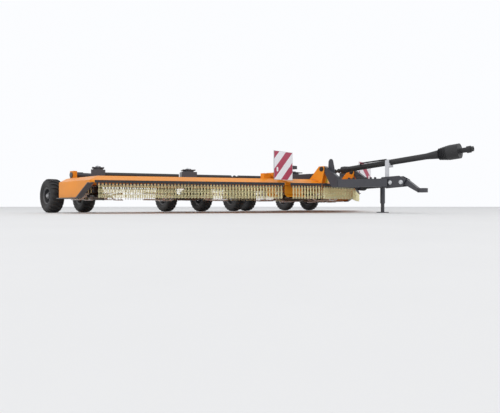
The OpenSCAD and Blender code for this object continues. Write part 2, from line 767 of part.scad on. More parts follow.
// Post on the head plate with a saddle under the shaft
module shaft_holder()
  color(grey) {
    post_y = head_y - 80;
    post_w = 60;
    axis_z = draw_z + (post_y + post_w / 2) * tan(shaft_pitch);
    difference() {
      union() {
        translate([head_half, post_y, head_z + 60])
          cube([head_t, post_w, axis_z - head_z - 20]);
        translate([-head_half, post_y, axis_z - 70]) cube([2 * head_half + 1, post_w, 60]);
      }
      translate([0, 0, draw_z]) rotate([shaft_pitch, 0, 0]) rotate([-90, 0, 0])
        cylinder(h = head_y + 200, r = guard_r);
      side_plate([[head_y - 141, head_z - 80], [head_y - 141, head_z + 85 + seat_gap],
        [head_y + bolt_gap - 30, head_z + 95 + seat_gap], [head_y + bolt_gap, head_z - 80]],
        head_half - 1, head_half + head_t + 1);
    }
  }

// Swing-up stand on the left beam
module parking_jack()
  color(charcoal) {
    difference() {
      translate([jack_x, jack_y, 150]) cylinder(h = jack_z - 50, r = 38);
      cross_bar(jack_x - 60, jack_x + 60, jack_y, jack_z, pin_r + running_fit);
    }
    translate([jack_x, jack_y, 8]) cylinder(h = 150, r = 28);
    translate([jack_x, jack_y, 0]) cylinder(h = 12, r = 95);
  }

module warning_boards()
  color(white)
    for (s = [1, -1])
      side(s)
        translate([hinge_x - 10, board_y, deck_top - 40]) cube([board_side, 6, board_side]);

module board_brackets()
  color(charcoal)
    for (s = [1, -1])
      side(s)
        translate([cx - 2 * board_post, 0, 0]) {
          translate([0, board_post_y, deck_top]) cube([board_post, board_post, board_lift]);
          translate([0, board_post_y, board_arm_z])
            cube([board_post, board_y - board_post_y - 6, 50]);
          translate([0, board_y - 6, board_arm_z]) cube([board_post + board_reach, 6, 50]);
        }

placed() centre_deck();
placed() centre_frame();
placed() centre_chains();
placed() centre_gearbox();
placed() centre_shafts();
placed() drawbar_brackets();
placed() warning_boards();
placed() board_brackets();
placed() centre_axles();
placed() hinge_flaps();
placed() wing_deck();  // wing_deck_right
placed() wing_chains();  // wing_chains_right
placed() end_plate();  // end_plate_right
placed() skid();  // skid_right
placed() wing_gearboxes();  // wing_gearboxes_right
placed() wing_shafts();  // wing_shafts_right
placed() wing_axle();  // wing_axle_right
placed() wing_flap();  // hinge_flap_right
placed() side(-1) wing_deck();  // wing_deck_left
placed() side(-1) wing_chains();  // wing_chains_left
placed() side(-1) end_plate();  // end_plate_left
placed() side(-1) skid();  // skid_left
placed() side(-1) wing_gearboxes();  // wing_gearboxes_left
placed() side(-1) wing_shafts();  // wing_shafts_left
placed() side(-1) wing_axle();  // wing_axle_left
placed() side(-1) wing_flap();  // hinge_flap_left
placed() rotor_part(centre_rotor, big_pan_r);  // rotor_centre
placed() blades_part(centre_rotor, big_blade_r, big_pan_r);  // blades_centre
placed() rotor_part(inner_rotor, big_pan_r);  // rotor_inner_right
placed() blades_part(inner_rotor, big_blade_r, big_pan_r);  // blades_inner_right
placed() rotor_part(outer_rotor, small_pan_r);  // rotor_outer_right
placed() blades_part(outer_rotor, small_blade_r, small_pan_r);  // blades_outer_right
placed() side(-1) rotor_part(inner_rotor, big_pan_r);  // rotor_inner_left
placed() side(-1) blades_part(inner_rotor, big_blade_r, big_pan_r);  // blades_inner_left
placed() side(-1) rotor_part(outer_rotor, small_pan_r);  // rotor_outer_left
placed() side(-1) blades_part(outer_rotor, small_blade_r, small_pan_r);  // blades_outer_left
placed() tyre(centre_in);  // tyre_centre_in_right
placed() rim(centre_in);  // rim_centre_in_right
placed() tyre(centre_out);  // tyre_centre_out_right
placed() rim(centre_out);  // rim_centre_out_right
placed() tyre(wing_in);  // tyre_wing_in_right
placed() rim(wing_in);  // rim_wing_in_right
placed() tyre(wing_out);  // tyre_wing_out_right
placed() rim(wing_out);  // rim_wing_out_right
placed() side(-1) tyre(centre_in);  // tyre_centre_in_left
placed() side(-1) rim(centre_in);  // rim_centre_in_left
placed() side(-1) tyre(centre_out);  // tyre_centre_out_left
placed() side(-1) rim(centre_out);  // rim_centre_out_left
placed() side(-1) tyre(wing_in);  // tyre_wing_in_left
placed() side(-1) rim(wing_in);  // rim_wing_in_left
placed() side(-1) tyre(wing_out);  // tyre_wing_out_left
placed() side(-1) rim(wing_out);  // rim_wing_out_left
placed() drawbar_frame();
placed() hitch_tongue();
placed() drive_shaft();
placed() shaft_holder();
placed() parking_jack();
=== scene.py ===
"""Looks of a trailed flex-wing rotary cutter, laid out as an add-on and run as a script."""

import json
import math

import bmesh
import bpy
import numpy as np
from mathutils import Matrix, Vector


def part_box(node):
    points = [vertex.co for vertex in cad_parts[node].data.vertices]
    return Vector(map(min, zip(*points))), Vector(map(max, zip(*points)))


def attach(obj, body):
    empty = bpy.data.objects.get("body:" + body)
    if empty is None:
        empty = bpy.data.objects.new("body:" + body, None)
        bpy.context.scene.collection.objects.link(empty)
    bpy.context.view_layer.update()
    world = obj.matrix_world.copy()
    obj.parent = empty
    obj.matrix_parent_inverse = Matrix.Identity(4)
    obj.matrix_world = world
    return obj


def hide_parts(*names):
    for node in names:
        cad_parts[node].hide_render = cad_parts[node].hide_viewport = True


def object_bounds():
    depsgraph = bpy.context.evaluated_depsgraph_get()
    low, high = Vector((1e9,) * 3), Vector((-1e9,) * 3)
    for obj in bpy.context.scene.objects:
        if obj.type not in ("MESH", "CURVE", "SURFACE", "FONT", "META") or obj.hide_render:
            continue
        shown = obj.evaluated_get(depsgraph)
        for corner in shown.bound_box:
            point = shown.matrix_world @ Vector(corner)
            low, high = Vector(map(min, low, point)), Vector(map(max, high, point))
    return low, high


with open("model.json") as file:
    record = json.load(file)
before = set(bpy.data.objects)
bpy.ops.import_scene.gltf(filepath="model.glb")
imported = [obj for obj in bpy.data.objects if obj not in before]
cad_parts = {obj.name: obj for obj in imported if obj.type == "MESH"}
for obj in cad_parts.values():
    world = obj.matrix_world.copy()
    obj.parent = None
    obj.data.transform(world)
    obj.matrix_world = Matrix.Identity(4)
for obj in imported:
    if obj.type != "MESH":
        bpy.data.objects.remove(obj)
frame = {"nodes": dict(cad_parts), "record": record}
CAD_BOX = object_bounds()
JOINTS = {joint["name"]: joint for joint in frame["record"]["behaviour"]["joints"]}

bl_info = {
    "name": "Flex-wing rotary cutter",
    "version": (1, 0, 0),
    "blender": (4, 5, 0),
    "location": "3D View > Sidebar > Cutter",
    "description": "Finishes and fittings of a trailed flex-wing rotary cutter",
    "category": "Object",
}

SIDES = (("right", 1.0), ("left", -1.0))
WHEELS = ("centre_in", "centre_out", "wing_in", "wing_out")
CURTAINS = (("centre_chains", "centre"), ("wing_chains_right", "wing_right"),
            ("wing_chains_left", "wing_left"))
SMOOTH_ANGLE = math.radians(34)
BLADE_BOLT_SHARE = 0.76
LARGE_TIP = 0.890
LEVEL = 1e-4
DUST_COLOUR = (0.33, 0.27, 0.20)
STRIPE_SHIFT = 0.269
QUARTERS = tuple(Matrix.Rotation(math.pi / 2 * i, 4, "Z") for i in range(4))


# Sizes and colours

class CutterSizes(bpy.types.PropertyGroup):
    """Sizes of the fittings that dress the solids"""

    chain_pitch: bpy.props.FloatProperty(
        name="Chain pitch", description="Distance between hanging chains",
        default=0.047, unit="LENGTH")
    link_wire: bpy.props.FloatProperty(
        name="Link wire", description="Thickness of the chain wire", default=0.0066, unit="LENGTH")
    link_length: bpy.props.FloatProperty(
        name="Link length", description="Outside length of a chain link",
        default=0.050, unit="LENGTH")
    link_width: bpy.props.FloatProperty(
        name="Link width", description="Outside width of a chain link",
        default=0.0225, unit="LENGTH")
    row_gap: bpy.props.FloatProperty(
        name="Row gap", description="Distance of the second chain row behind the front edge",
        default=0.039, unit="LENGTH")
    rail_height: bpy.props.FloatProperty(
        name="Rail height", description="Height of the bar that the chains hang from",
        default=0.038, unit="LENGTH")
    blade_thickness: bpy.props.FloatProperty(
        name="Blade thickness", description="Thickness of a blade", default=0.012, unit="LENGTH")
    blade_width: bpy.props.FloatProperty(
        name="Blade width", description="Width of a large blade's shank", default=0.068, unit="LENGTH")
    paddle_width: bpy.props.FloatProperty(
        name="Paddle width", description="Width of a large blade's end", default=0.140, unit="LENGTH")
    pan_dish: bpy.props.FloatProperty(
        name="Pan dish", description="Depth of a dished pan", default=0.048, unit="LENGTH")
    flap_foot: bpy.props.FloatProperty(
        name="Flap foot", description="Reach of the folded foot of a hinge flap",
        default=0.105, unit="LENGTH")
    flap_tail: bpy.props.FloatProperty(
        name="Flap tail", description="Length by which a middle flap runs on towards its hinge",
        default=0.150, unit="LENGTH")
    lug_count: bpy.props.IntProperty(
        name="Lugs", description="Lugs along each shoulder of a tyre", default=22)
    stripe_width: bpy.props.FloatProperty(
        name="Stripe width", description="Width of a stripe on the warning boards",
        default=0.106, unit="LENGTH")


class CutterColours(bpy.types.PropertyGroup):
    """Colours of the finishes"""

    orange: bpy.props.FloatVectorProperty(
        name="Deck orange", description="Paint of the decks", subtype="COLOR", size=3,
        default=(0.86, 0.290, 0.012))
    charcoal: bpy.props.FloatVectorProperty(
        name="Charcoal", description="Paint of the drawbar and axles", subtype="COLOR", size=3,
        default=(0.040, 0.041, 0.052))
    zinc: bpy.props.FloatVectorProperty(
        name="Zinc", description="Yellow zinc plating of the chains", subtype="COLOR", size=3,
        default=(0.87, 0.78, 0.46))
    blade: bpy.props.FloatVectorProperty(
        name="Blade steel", description="Bare steel of the blades", subtype="COLOR", size=3,
        default=(0.90, 0.90, 0.91))
    pan: bpy.props.FloatVectorProperty(
        name="Pan grey", description="Steel of the dished pans", subtype="COLOR", size=3,
        default=(0.215, 0.205, 0.190))
    rubber: bpy.props.FloatVectorProperty(
        name="Rubber", description="Tyre rubber", subtype="COLOR", size=3,
        default=(0.013, 0.013, 0.015))
    crimson: bpy.props.FloatVectorProperty(
        name="Stripe crimson", description="Dark stripes of the boards", subtype="COLOR", size=3,
        default=(0.42, 0.035, 0.085))
    white: bpy.props.FloatVectorProperty(
        name="Stripe white", description="Pale stripes of the boards", subtype="COLOR", size=3,
        default=(0.84, 0.83, 0.86))


def sizes():
    """Sizes set in the scene."""
    return bpy.context.scene.cutter_sizes


def colours():
    """Colours set in the scene."""
    return bpy.context.scene.cutter_colours


# Mesh helpers

def add_piece(name, shape, material, body, replaced=()):
    """Makes one object of a (vertices, faces) shape and ties it to its body."""
    verts, faces = shape
    mesh = bpy.data.meshes.new(name)
    mesh.from_pydata(np.asarray(verts).tolist(), [], faces)
    mesh.validate()
    for polygon in mesh.polygons:
        polygon.use_smooth = True
    mesh.set_sharp_from_angle(angle=SMOOTH_ANGLE)
    mesh.materials.append(material)
    piece = bpy.data.objects.new(name, mesh)
    bpy.context.scene.collection.objects.link(piece)
    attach(piece, body)
    if replaced:
        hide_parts(*replaced)
    return piece


def from_bmesh(bm):
    """Vertices and faces of a bmesh, which is then freed."""
    bm.verts.index_update()
    verts = np.array([v.co[:] for v in bm.verts])
    faces = [[v.index for v in f.verts] for f in bm.faces]
    bm.free()
    return verts, faces


def merge(parts):
    """Joins several (vertices, faces) shapes into one."""
    verts = []
    faces = []
    count = 0
    for part_verts, part_faces in parts:
        verts.append(np.asarray(part_verts))
        faces += [[i + count for i in face] for face in part_faces]
        count += len(part_verts)
    return np.concatenate(verts), faces


def repeat(shape, places):
    """Copies of a shape at each place, a 4x4 matrix."""
    base, faces = shape
    wide = np.c_[base, np.ones(len(base))]
    return merge([((wide @ np.array(place).T)[:, :3], faces) for place in places])


def moved(shape, matrix):
    """The shape at another place."""
    return repeat(shape, [matrix])


def lathe(profile, segments):
    """Solid of revolution about Z from (radius, height) points; radius 0 closes it."""
    verts = []
    rings = []
    for radius, height in profile:
        if radius == 0:
            rings.append([len(verts)])
            verts.append((0, 0, height))
            continue
        rings.append(list(range(len(verts), len(verts) + segments)))
        for i in range(segments):
            angle = 2 * math.pi * i / segments
            verts.append((radius * math.cos(angle), radius * math.sin(angle), height))
    faces = []
    for low, high in zip(rings, rings[1:]):
        for i in range(segments):
            j = (i + 1) % segments
            if len(low) == 1:
                faces.append([low[0], high[j], high[i]])
            elif len(high) == 1:
                faces.append([low[i], low[j], high[0]])
            else:
                faces.append([low[i], low[j], high[j], high[i]])
    return np.array(verts), faces


def block(size, bevel=0.002):
    """Box about the origin with bevelled edges."""
    bm = bmesh.new()
    bmesh.ops.create_cube(bm, size=1.0)
    bmesh.ops.scale(bm, vec=size, verts=bm.verts)
    if bevel:
        bmesh.ops.bevel(bm, geom=bm.edges[:], offset=bevel, segments=1, affect="EDGES")
    return from_bmesh(bm)


def tube(points, radius, sides=10):
    """Round tube with closed ends along a smooth line of points."""
    points = [Vector(p) for p in points]
    verts = []
    faces = []
    side = None
    for i, point in enumerate(points):
        ahead = points[min(i + 1, len(points) - 1)] - points[max(i - 1, 0)]
        ahead.normalize()
        if side is None:
            side = ahead.orthogonal()
        side = (side - ahead * side.dot(ahead)).normalized()
        other = ahead.cross(side)
        for k in range(sides):
            angle = 2 * math.pi * k / sides
            verts.append(point + radius * (math.cos(angle) * side + math.sin(angle) * other))
    for i in range(len(points) - 1):
        for k in range(sides):
            n = (k + 1) % sides
            faces.append([i * sides + k, i * sides + n, (i + 1) * sides + n, (i + 1) * sides + k])
    faces.append(list(range(sides))[::-1])
    faces.append([(len(points) - 1) * sides + k for k in range(sides)])
    return np.array([v[:] for v in verts]), faces


def smooth_line(points, steps=8):
    """Curve through the points, with the given steps in each stretch."""
    points = [Vector(p) for p in points]
    ends = [points[0]] + points + [points[-1]]
    line = []
    for a, b, c, d in zip(ends, ends[1:], ends[2:], ends[3:]):
        for i in range(steps):
            t = i / steps
            line.append(0.5 * (2 * b + (c - a) * t + (2 * a - 5 * b + 4 * c - d) * t ** 2
                               + (3 * b - a - 3 * c + d) * t ** 3))
    line.append(points[-1])
    return line


def prism(points, way, bevel=0.0):
    """Solid from a flat outline pushed along a vector."""
    bm = bmesh.new()
    near = [bm.verts.new(point) for point in points]
    far = [bm.verts.new(Vector(point) + Vector(way)) for point in points]
    bm.faces.new(near)
    bm.faces.new(far[::-1])
    for i in range(len(points)):
        bm.faces.new([near[i], near[i - 1], far[i - 1], far[i]])
    bmesh.ops.recalc_face_normals(bm, faces=bm.faces)
    if bevel:
        bmesh.ops.bevel(bm, geom=bm.edges[:], offset=bevel, segments=1, affect="EDGES")
    return from_bmesh(bm)


def plate_shape(points, x0, x1):
    """Plate drawn by (y, z) points, from x0 to x1 across, with eased edges."""
    return prism([(x0, y, z) for y, z in points], (x1 - x0, 0, 0), 0.0015)


def bolt_shape(radius, height):
    """Hexagon bolt head on a washer, pointing along Z."""
    washer = lathe([(0, 0), (radius * 1.45, 0), (radius * 1.45, radius * 0.22), (0, radius * 0.22)], 16)
    head = lathe([(0, radius * 0.2), (radius, radius * 0.2), (radius, height * 0.86),
                  (radius * 0.86, height), (0, height)], 6)
    return merge([washer, head])


def pointing(place, direction):
    """Matrix that puts a shape's Z along direction at a place."""
    turn = Vector(direction).to_track_quat("Z", "Y").to_matrix().to_4x4()
    return Matrix.Translation(place) @ turn


def at_height(point, height):
    """The point at another height."""
    return Vector((point.x, point.y, height))


def mirrored(shape):
    """The shape of the other side of the machine."""
    verts, faces = shape
    return verts * (-1, 1, 1), [face[::-1] for face in faces]


def joint_place(name):
    """Place of a joint of the frame."""
    return Vector(JOINTS[name]["pos_m"])


def node_mesh(name):
    """Welded copy of a CAD node's mesh."""
    bm = bmesh.new()
    bm.from_mesh(frame["nodes"][name].data)
    bmesh.ops.remove_doubles(bm, verts=bm.verts, dist=1e-5)
    return bm


# Shader helpers

def new_group(name, inputs, outputs):
    """Empty node group with named sockets, returned with its input and output nodes."""
    group = bpy.data.node_groups.new(name, "ShaderNodeTree")
    for label, value in inputs:
        socket = group.interface.new_socket(label, in_out="INPUT", socket_type="NodeSocketFloat")
        socket.default_value = value
    for label in outputs:
        group.interface.new_socket(label, in_out="OUTPUT", socket_type="NodeSocketFloat")
    return group, group.nodes.new("NodeGroupInput"), group.nodes.new("NodeGroupOutput")


def math_node(tree, operation, first, second=None, clamp=False):
    """Result of a Math node that takes sockets or plain numbers."""
    node = tree.nodes.new("ShaderNodeMath")
    node.operation = operation
    node.use_clamp = clamp
    for socket, value in zip(node.inputs, (first, second)):
        if value is None:
            continue
        if isinstance(value, (int, float)):
            socket.default_value = value
        else:
            tree.links.new(value, socket)
    return node.outputs[0]


def noise(tree, vector, scale, detail=4.0, roughness=0.55):
    """Noise from 0 to 1 over the surface."""
    node = tree.nodes.new("ShaderNodeTexNoise")
    node.inputs["Detail"].default_value = detail
    node.inputs["Roughness"].default_value = roughness
    if isinstance(scale, (int, float)):
        node.inputs["Scale"].default_value = scale
    else:
        tree.links.new(scale, node.inputs["Scale"])
    tree.links.new(vector, node.inputs["Vector"])
    return node.outputs["Fac"]


def ramp(tree, value, low, high):
    """The value as a share of the way from low to high."""
    node = tree.nodes.new("ShaderNodeMapRange")
    node.inputs["From Min"].default_value = low
    node.inputs["From Max"].default_value = high
    tree.links.new(value, node.inputs["Value"])
    return node.outputs["Result"]


def edge_wear_group():
    """Mask of rubbed edges, broken up by noise."""
    group, given, result = new_group("edge_wear", [("Amount", 0.5), ("Scale", 40.0)], ["Mask"])
    place = group.nodes.new("ShaderNodeTexCoord").outputs["Object"]
    rounded = group.nodes.new("ShaderNodeBevel")
    rounded.samples = 4
    rounded.inputs["Radius"].default_value = 0.0035
    flat = group.nodes.new("ShaderNodeNewGeometry").outputs["Normal"]
    match = group.nodes.new("ShaderNodeVectorMath")
    match.operation = "DOT_PRODUCT"
    group.links.new(rounded.outputs["Normal"], match.inputs[0])
    group.links.new(flat, match.inputs[1])
    edge = ramp(group, match.outputs["Value"], 0.985, 0.86)
    broken = ramp(group, noise(group, place, given.outputs["Scale"]), 0.44, 0.64)
    mask = math_node(group, "MULTIPLY", edge, broken)
    mask = math_node(group, "MULTIPLY", mask, given.outputs["Amount"], clamp=True)
    group.links.new(mask, result.inputs["Mask"])
    return group


def grain_group():
    """Fine surface grain: a height for bump and a slow tone for colour."""
    group, given, result = new_group("grain", [("Scale", 200.0)], ["Height", "Tone"])
    place = group.nodes.new("ShaderNodeTexCoord").outputs["Object"]
    group.links.new(noise(group, place, given.outputs["Scale"], 3.0), result.inputs["Height"])
    group.links.new(noise(group, place, 1.7, 5.0, 0.6), result.inputs["Tone"])
    return group


def dust_group():
    """Mask of road dust that gathers low down, broken into patches by noise."""
    group, given, result = new_group("dust", [("Amount", 0.3), ("Top", 0.6)], ["Mask"])
    place = group.nodes.new("ShaderNodeTexCoord").outputs["Object"]
    split = group.nodes.new("ShaderNodeSeparateXYZ")
    group.links.new(place, split.inputs[0])
    low = math_node(group, "SUBTRACT", given.outputs["Top"], split.outputs["Z"])
    low = math_node(group, "DIVIDE", low, given.outputs["Top"], clamp=True)
    patch = ramp(group, noise(group, place, 6.0, 6.0, 0.65), 0.38, 0.72)
    mask = math_node(group, "MULTIPLY", low, patch)
    mask = math_node(group, "MULTIPLY", mask, given.outputs["Amount"], clamp=True)
    group.links.new(mask, result.inputs["Mask"])
    return group


GROUPS = {}


def use_group(tree, name, **values):
    """Places a node group, built on its first use, with its own values."""
    makers = {"edge_wear": edge_wear_group, "grain": grain_group, "dust": dust_group}
    if name not in GROUPS:
        GROUPS[name] = makers[name]()
    node = tree.nodes.new("ShaderNodeGroup")
    node.node_tree = GROUPS[name]
    for label, value in values.items():
        node.inputs[label].default_value = value
    return node.outputs


def mix_colour(tree, mask, first, second):
    """Colour that goes from first to second as the mask rises."""
    node = tree.nodes.new("ShaderNodeMix")
    node.data_type = "RGBA"
    tree.links.new(mask, node.inputs["Factor"])
    for socket, value in ((node.inputs["A"], first), (node.inputs["B"], second)):
        if isinstance(value, (tuple, list)) or hasattr(value, "r"):
            socket.default_value = (*value[:3], 1.0)
        else:
            tree.links.new(value, socket)
    return node.outputs["Result"]


def shade(colour, factor):
    """The colour made darker or paler."""
    return tuple(min(1.0, c * factor) for c in colour)


MATERIALS = {}


def finish(name, colour, roughness, metallic=0.0, coat=0.0, wear=0.0, wear_colour=(0.3, 0.29, 0.28),
           dust=0.0, grain=240.0, bump=0.04, tone=0.16, gloss=0.5, pattern=None):
    """Procedural finish: toned colour, worn edges, dust, grain in bump and roughness."""
    if name in MATERIALS:
        return MATERIALS[name]
    material = bpy.data.materials.new(name)
    material.use_nodes = True
    tree = material.node_tree
    shader = tree.nodes["Principled BSDF"]
    shader.inputs["Metallic"].default_value = metallic
    shader.inputs["Specular IOR Level"].default_value = gloss
    shader.inputs["Coat Weight"].default_value = coat
    shader.inputs["Coat Roughness"].default_value = 0.18
    fine = use_group(tree, "grain", Scale=grain)
    if pattern:
        base = pattern(tree)
    else:
        base = mix_colour(tree, ramp(tree, fine["Tone"], 0.3, 0.7),
                          shade(colour, 1 - tone), shade(colour, 1 + tone))
    if wear:
        mask = use_group(tree, "edge_wear", Amount=wear)["Mask"]
        base = mix_colour(tree, mask, base, wear_colour)
    if dust:
        mask = use_group(tree, "dust", Amount=dust)["Mask"]
        base = mix_colour(tree, mask, base, DUST_COLOUR)
    tree.links.new(base, shader.inputs["Base Color"])
    rough = tree.nodes.new("ShaderNodeMapRange")
    rough.inputs["To Min"].default_value = max(0.05, roughness - 0.10)
    rough.inputs["To Max"].default_value = min(1.0, roughness + 0.10)
    tree.links.new(fine["Tone"], rough.inputs["Value"])
    tree.links.new(rough.outputs["Result"], shader.inputs["Roughness"])
    bumper = tree.nodes.new("ShaderNodeBump")
    bumper.inputs["Strength"].default_value = bump
    bumper.inputs["Distance"].default_value = 0.002
    tree.links.new(fine["Height"], bumper.inputs["Height"])
    tree.links.new(bumper.outputs["Normal"], shader.inputs["Normal"])
    MATERIALS[name] = material
    return material


def board_stripes(tree):
    """Diagonal stripes, mirrored from one board to the other."""
    split = tree.nodes.new("ShaderNodeSeparateXYZ")
    place = tree.nodes.new("ShaderNodeTexCoord").outputs["Object"]
    tree.links.new(place, split.inputs[0])
    across = math_node(tree, "ABSOLUTE", split.outputs["X"])
    slant = math_node(tree, "ADD", split.outputs["Z"], across)
    turns = math_node(tree, "DIVIDE", slant, 2 * sizes().stripe_width * math.sqrt(2))
    part = math_node(tree, "FRACT", math_node(tree, "ADD", turns, STRIPE_SHIFT))
    mask = math_node(tree, "GREATER_THAN", part, 0.5)
    return mix_colour(tree, mask, colours().white, colours().crimson)


def orange_paint():
    return finish("orange_paint", colours().orange, 0.42, coat=0.1, wear=0.25, dust=0.04, tone=0.07,
                  gloss=0.3)


def charcoal_paint():
    return finish("charcoal_paint", colours().charcoal, 0.44, coat=0.15, wear=0.5, dust=0.12,
                  wear_colour=(0.20, 0.20, 0.21))


def zinc_plate():
    return finish("zinc_chain", colours().zinc, 0.36, metallic=0.2, dust=0.10, grain=500.0, tone=0.22)


def blade_steel():
    return finish("blade_steel", colours().blade, 0.34, metallic=0.12, dust=0.06, grain=420.0, bump=0.08)


def pan_steel():
    return finish("grey_steel", colours().pan, 0.42, metallic=0.55, wear=0.3, grain=320.0,
                  wear_colour=(0.55, 0.54, 0.52))


def rubber():
    return finish("tyre_rubber", colours().rubber, 0.66, dust=0.10, grain=700.0, bump=0.12, tone=0.25)


def black_steel():
    return finish("black_steel", (0.020, 0.020, 0.023), 0.45, metallic=0.2, wear=0.5, tone=0.2)


def bright_zinc():
    return finish("bright_zinc", (0.66, 0.67, 0.69), 0.30, metallic=0.85, grain=500.0)


def rim_paint():
    return finish("rim_paint", (0.050, 0.051, 0.058), 0.42, coat=0.1, wear=0.4, dust=0.2)


def hub_grey():
    return finish("hub_grey", (0.32, 0.32, 0.33), 0.36, metallic=0.6, dust=0.2)


def skid_steel():
    return finish("skid_steel", (0.085, 0.086, 0.095), 0.40, metallic=0.4, wear=0.7, dust=0.2,
                  wear_colour=(0.5, 0.49, 0.47))


def light_grey():
    return finish("light_grey", (0.56, 0.57, 0.60), 0.45, wear=0.3)


def striped_board():
    return finish("board", colours().white, 0.38, coat=0.2, dust=0.05, pattern=board_stripes)


def flap_yellow():
    return finish("flap_yellow", (0.86, 0.37, 0.016), 0.46, wear=0.2, tone=0.06, gloss=0.3)


def ring_orange():
    return finish("ring_orange", (0.85, 0.20, 0.008), 0.36, coat=0.3)


def black_plastic():
    return finish("black_guard", (0.018, 0.018, 0.020), 0.50, dust=0.08, grain=600.0, bump=0.10)


# Operators

class CUTTER_OT_finishes(bpy.types.Operator):
    """Give every solid its finish"""

    bl_idname = "cutter.finishes"
    bl_label = "Finishes of the solids"

    def execute(self, context):
        by_slot = {
            "orange_paint": orange_paint(), "charcoal_paint": charcoal_paint(),
            "zinc_chain": zinc_plate(), "blade_steel": blade_steel(), "grey_steel": pan_steel(),
            "tyre": rubber(), "rim_paint": rim_paint(), "board": striped_board(),
            "black_guard": black_plastic(), "light_grey": light_grey(), "skid_steel": skid_steel()}
        slots = {row["node"]: row["material_slot"] for row in frame["record"]["subparts"]}
        for name, node in frame["nodes"].items():
            node.data.materials.clear()
            node.data.materials.append(by_slot[slots[name]])
        return {"FINISHED"}


def link_shape():
    """One oval chain link, standing along Z."""
    wire = sizes().link_wire / 2
    straight = sizes().link_length / 2 - sizes().link_width / 2
    arc = sizes().link_width / 2 - wire
    steps = 5
    sides = 6
    centre_line = []
    for end, start in ((1, 0.0), (-1, math.pi)):
        for i in range(steps):
            angle = start + math.pi * i / (steps - 1)
            centre_line.append((arc * math.cos(angle), end * straight + arc * math.sin(angle)))
    verts = []
    faces = []
    count = len(centre_line)
    for i, (x, z) in enumerate(centre_line):
        away = math.atan2(z - (straight if i < steps else -straight), x)
        for k in range(sides):
            angle = 2 * math.pi * k / sides
            reach = wire * math.cos(angle)
            verts.append((x + reach * math.cos(away), wire * math.sin(angle),
                          z + reach * math.sin(away)))
    for i in range(count):
        for k in range(sides):
            j = (i + 1) % count
            n = (k + 1) % sides
            faces.append([i * sides + k, j * sides + k, j * sides + n, i * sides + n])
    return np.array(verts), faces


def shells(bm):
    """Vertices of each connected shell of a mesh."""
    todo = set(bm.verts)
    found = []
    for first in bm.verts:
        if first not in todo:
            continue
        todo.remove(first)
        shell = [first]
        for vert in shell:
            for edge in vert.link_edges:
                other = edge.other_vert(vert)
                if other in todo:
                    todo.remove(other)
                    shell.append(other)
        found.append(shell)
    return found


def curtain_lines(node):
    """Middle, direction, outward side, length and heights of each rail of a chain node."""
    bm = node_mesh(node)
    deck_middle = sum(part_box(node.replace("chains", "deck")), Vector()) / 2
    lines = []
    for shell in shells(bm):
        top = max(v.co.z for v in shell)
        low = min(v.co.z for v in shell)
        rim = sorted((v.co.copy() for v in shell if v.co.z > top - LEVEL), key=tuple)
        a, b = max(((p, q) for p in rim for q in rim), key=lambda pair: (pair[0] - pair[1]).length)
        middle = sum(rim, Vector()) / len(rim)
        long_edge = max((e for v in shell for e in v.link_edges
                         if all(w.co.z > top - LEVEL for w in e.verts)), key=lambda e: e.calc_length())
        ahead = (long_edge.verts[1].co - long_edge.verts[0].co).normalized()
        out = ahead.cross(Vector((0, 0, 1)))
        if out.dot(middle - deck_middle) < 0:
            out = -out
        lines.append({"middle": middle, "ahead": ahead, "out": out,
                      "length": abs((a - b).dot(ahead)), "top": top, "low": low})
    bm.free()
    return sorted(lines, key=lambda row: (round(row["middle"].x, 3), round(row["middle"].y, 3)))


def along_rail(line, count, gap):
    """Points at even gaps about the middle of a rail."""
    return [line["middle"] + line["ahead"] * (i - (count - 1) / 2) * gap for i in range(count)]


def at_front(line):
    """Whether a rail faces forward."""
    return line["out"].y > 0.3


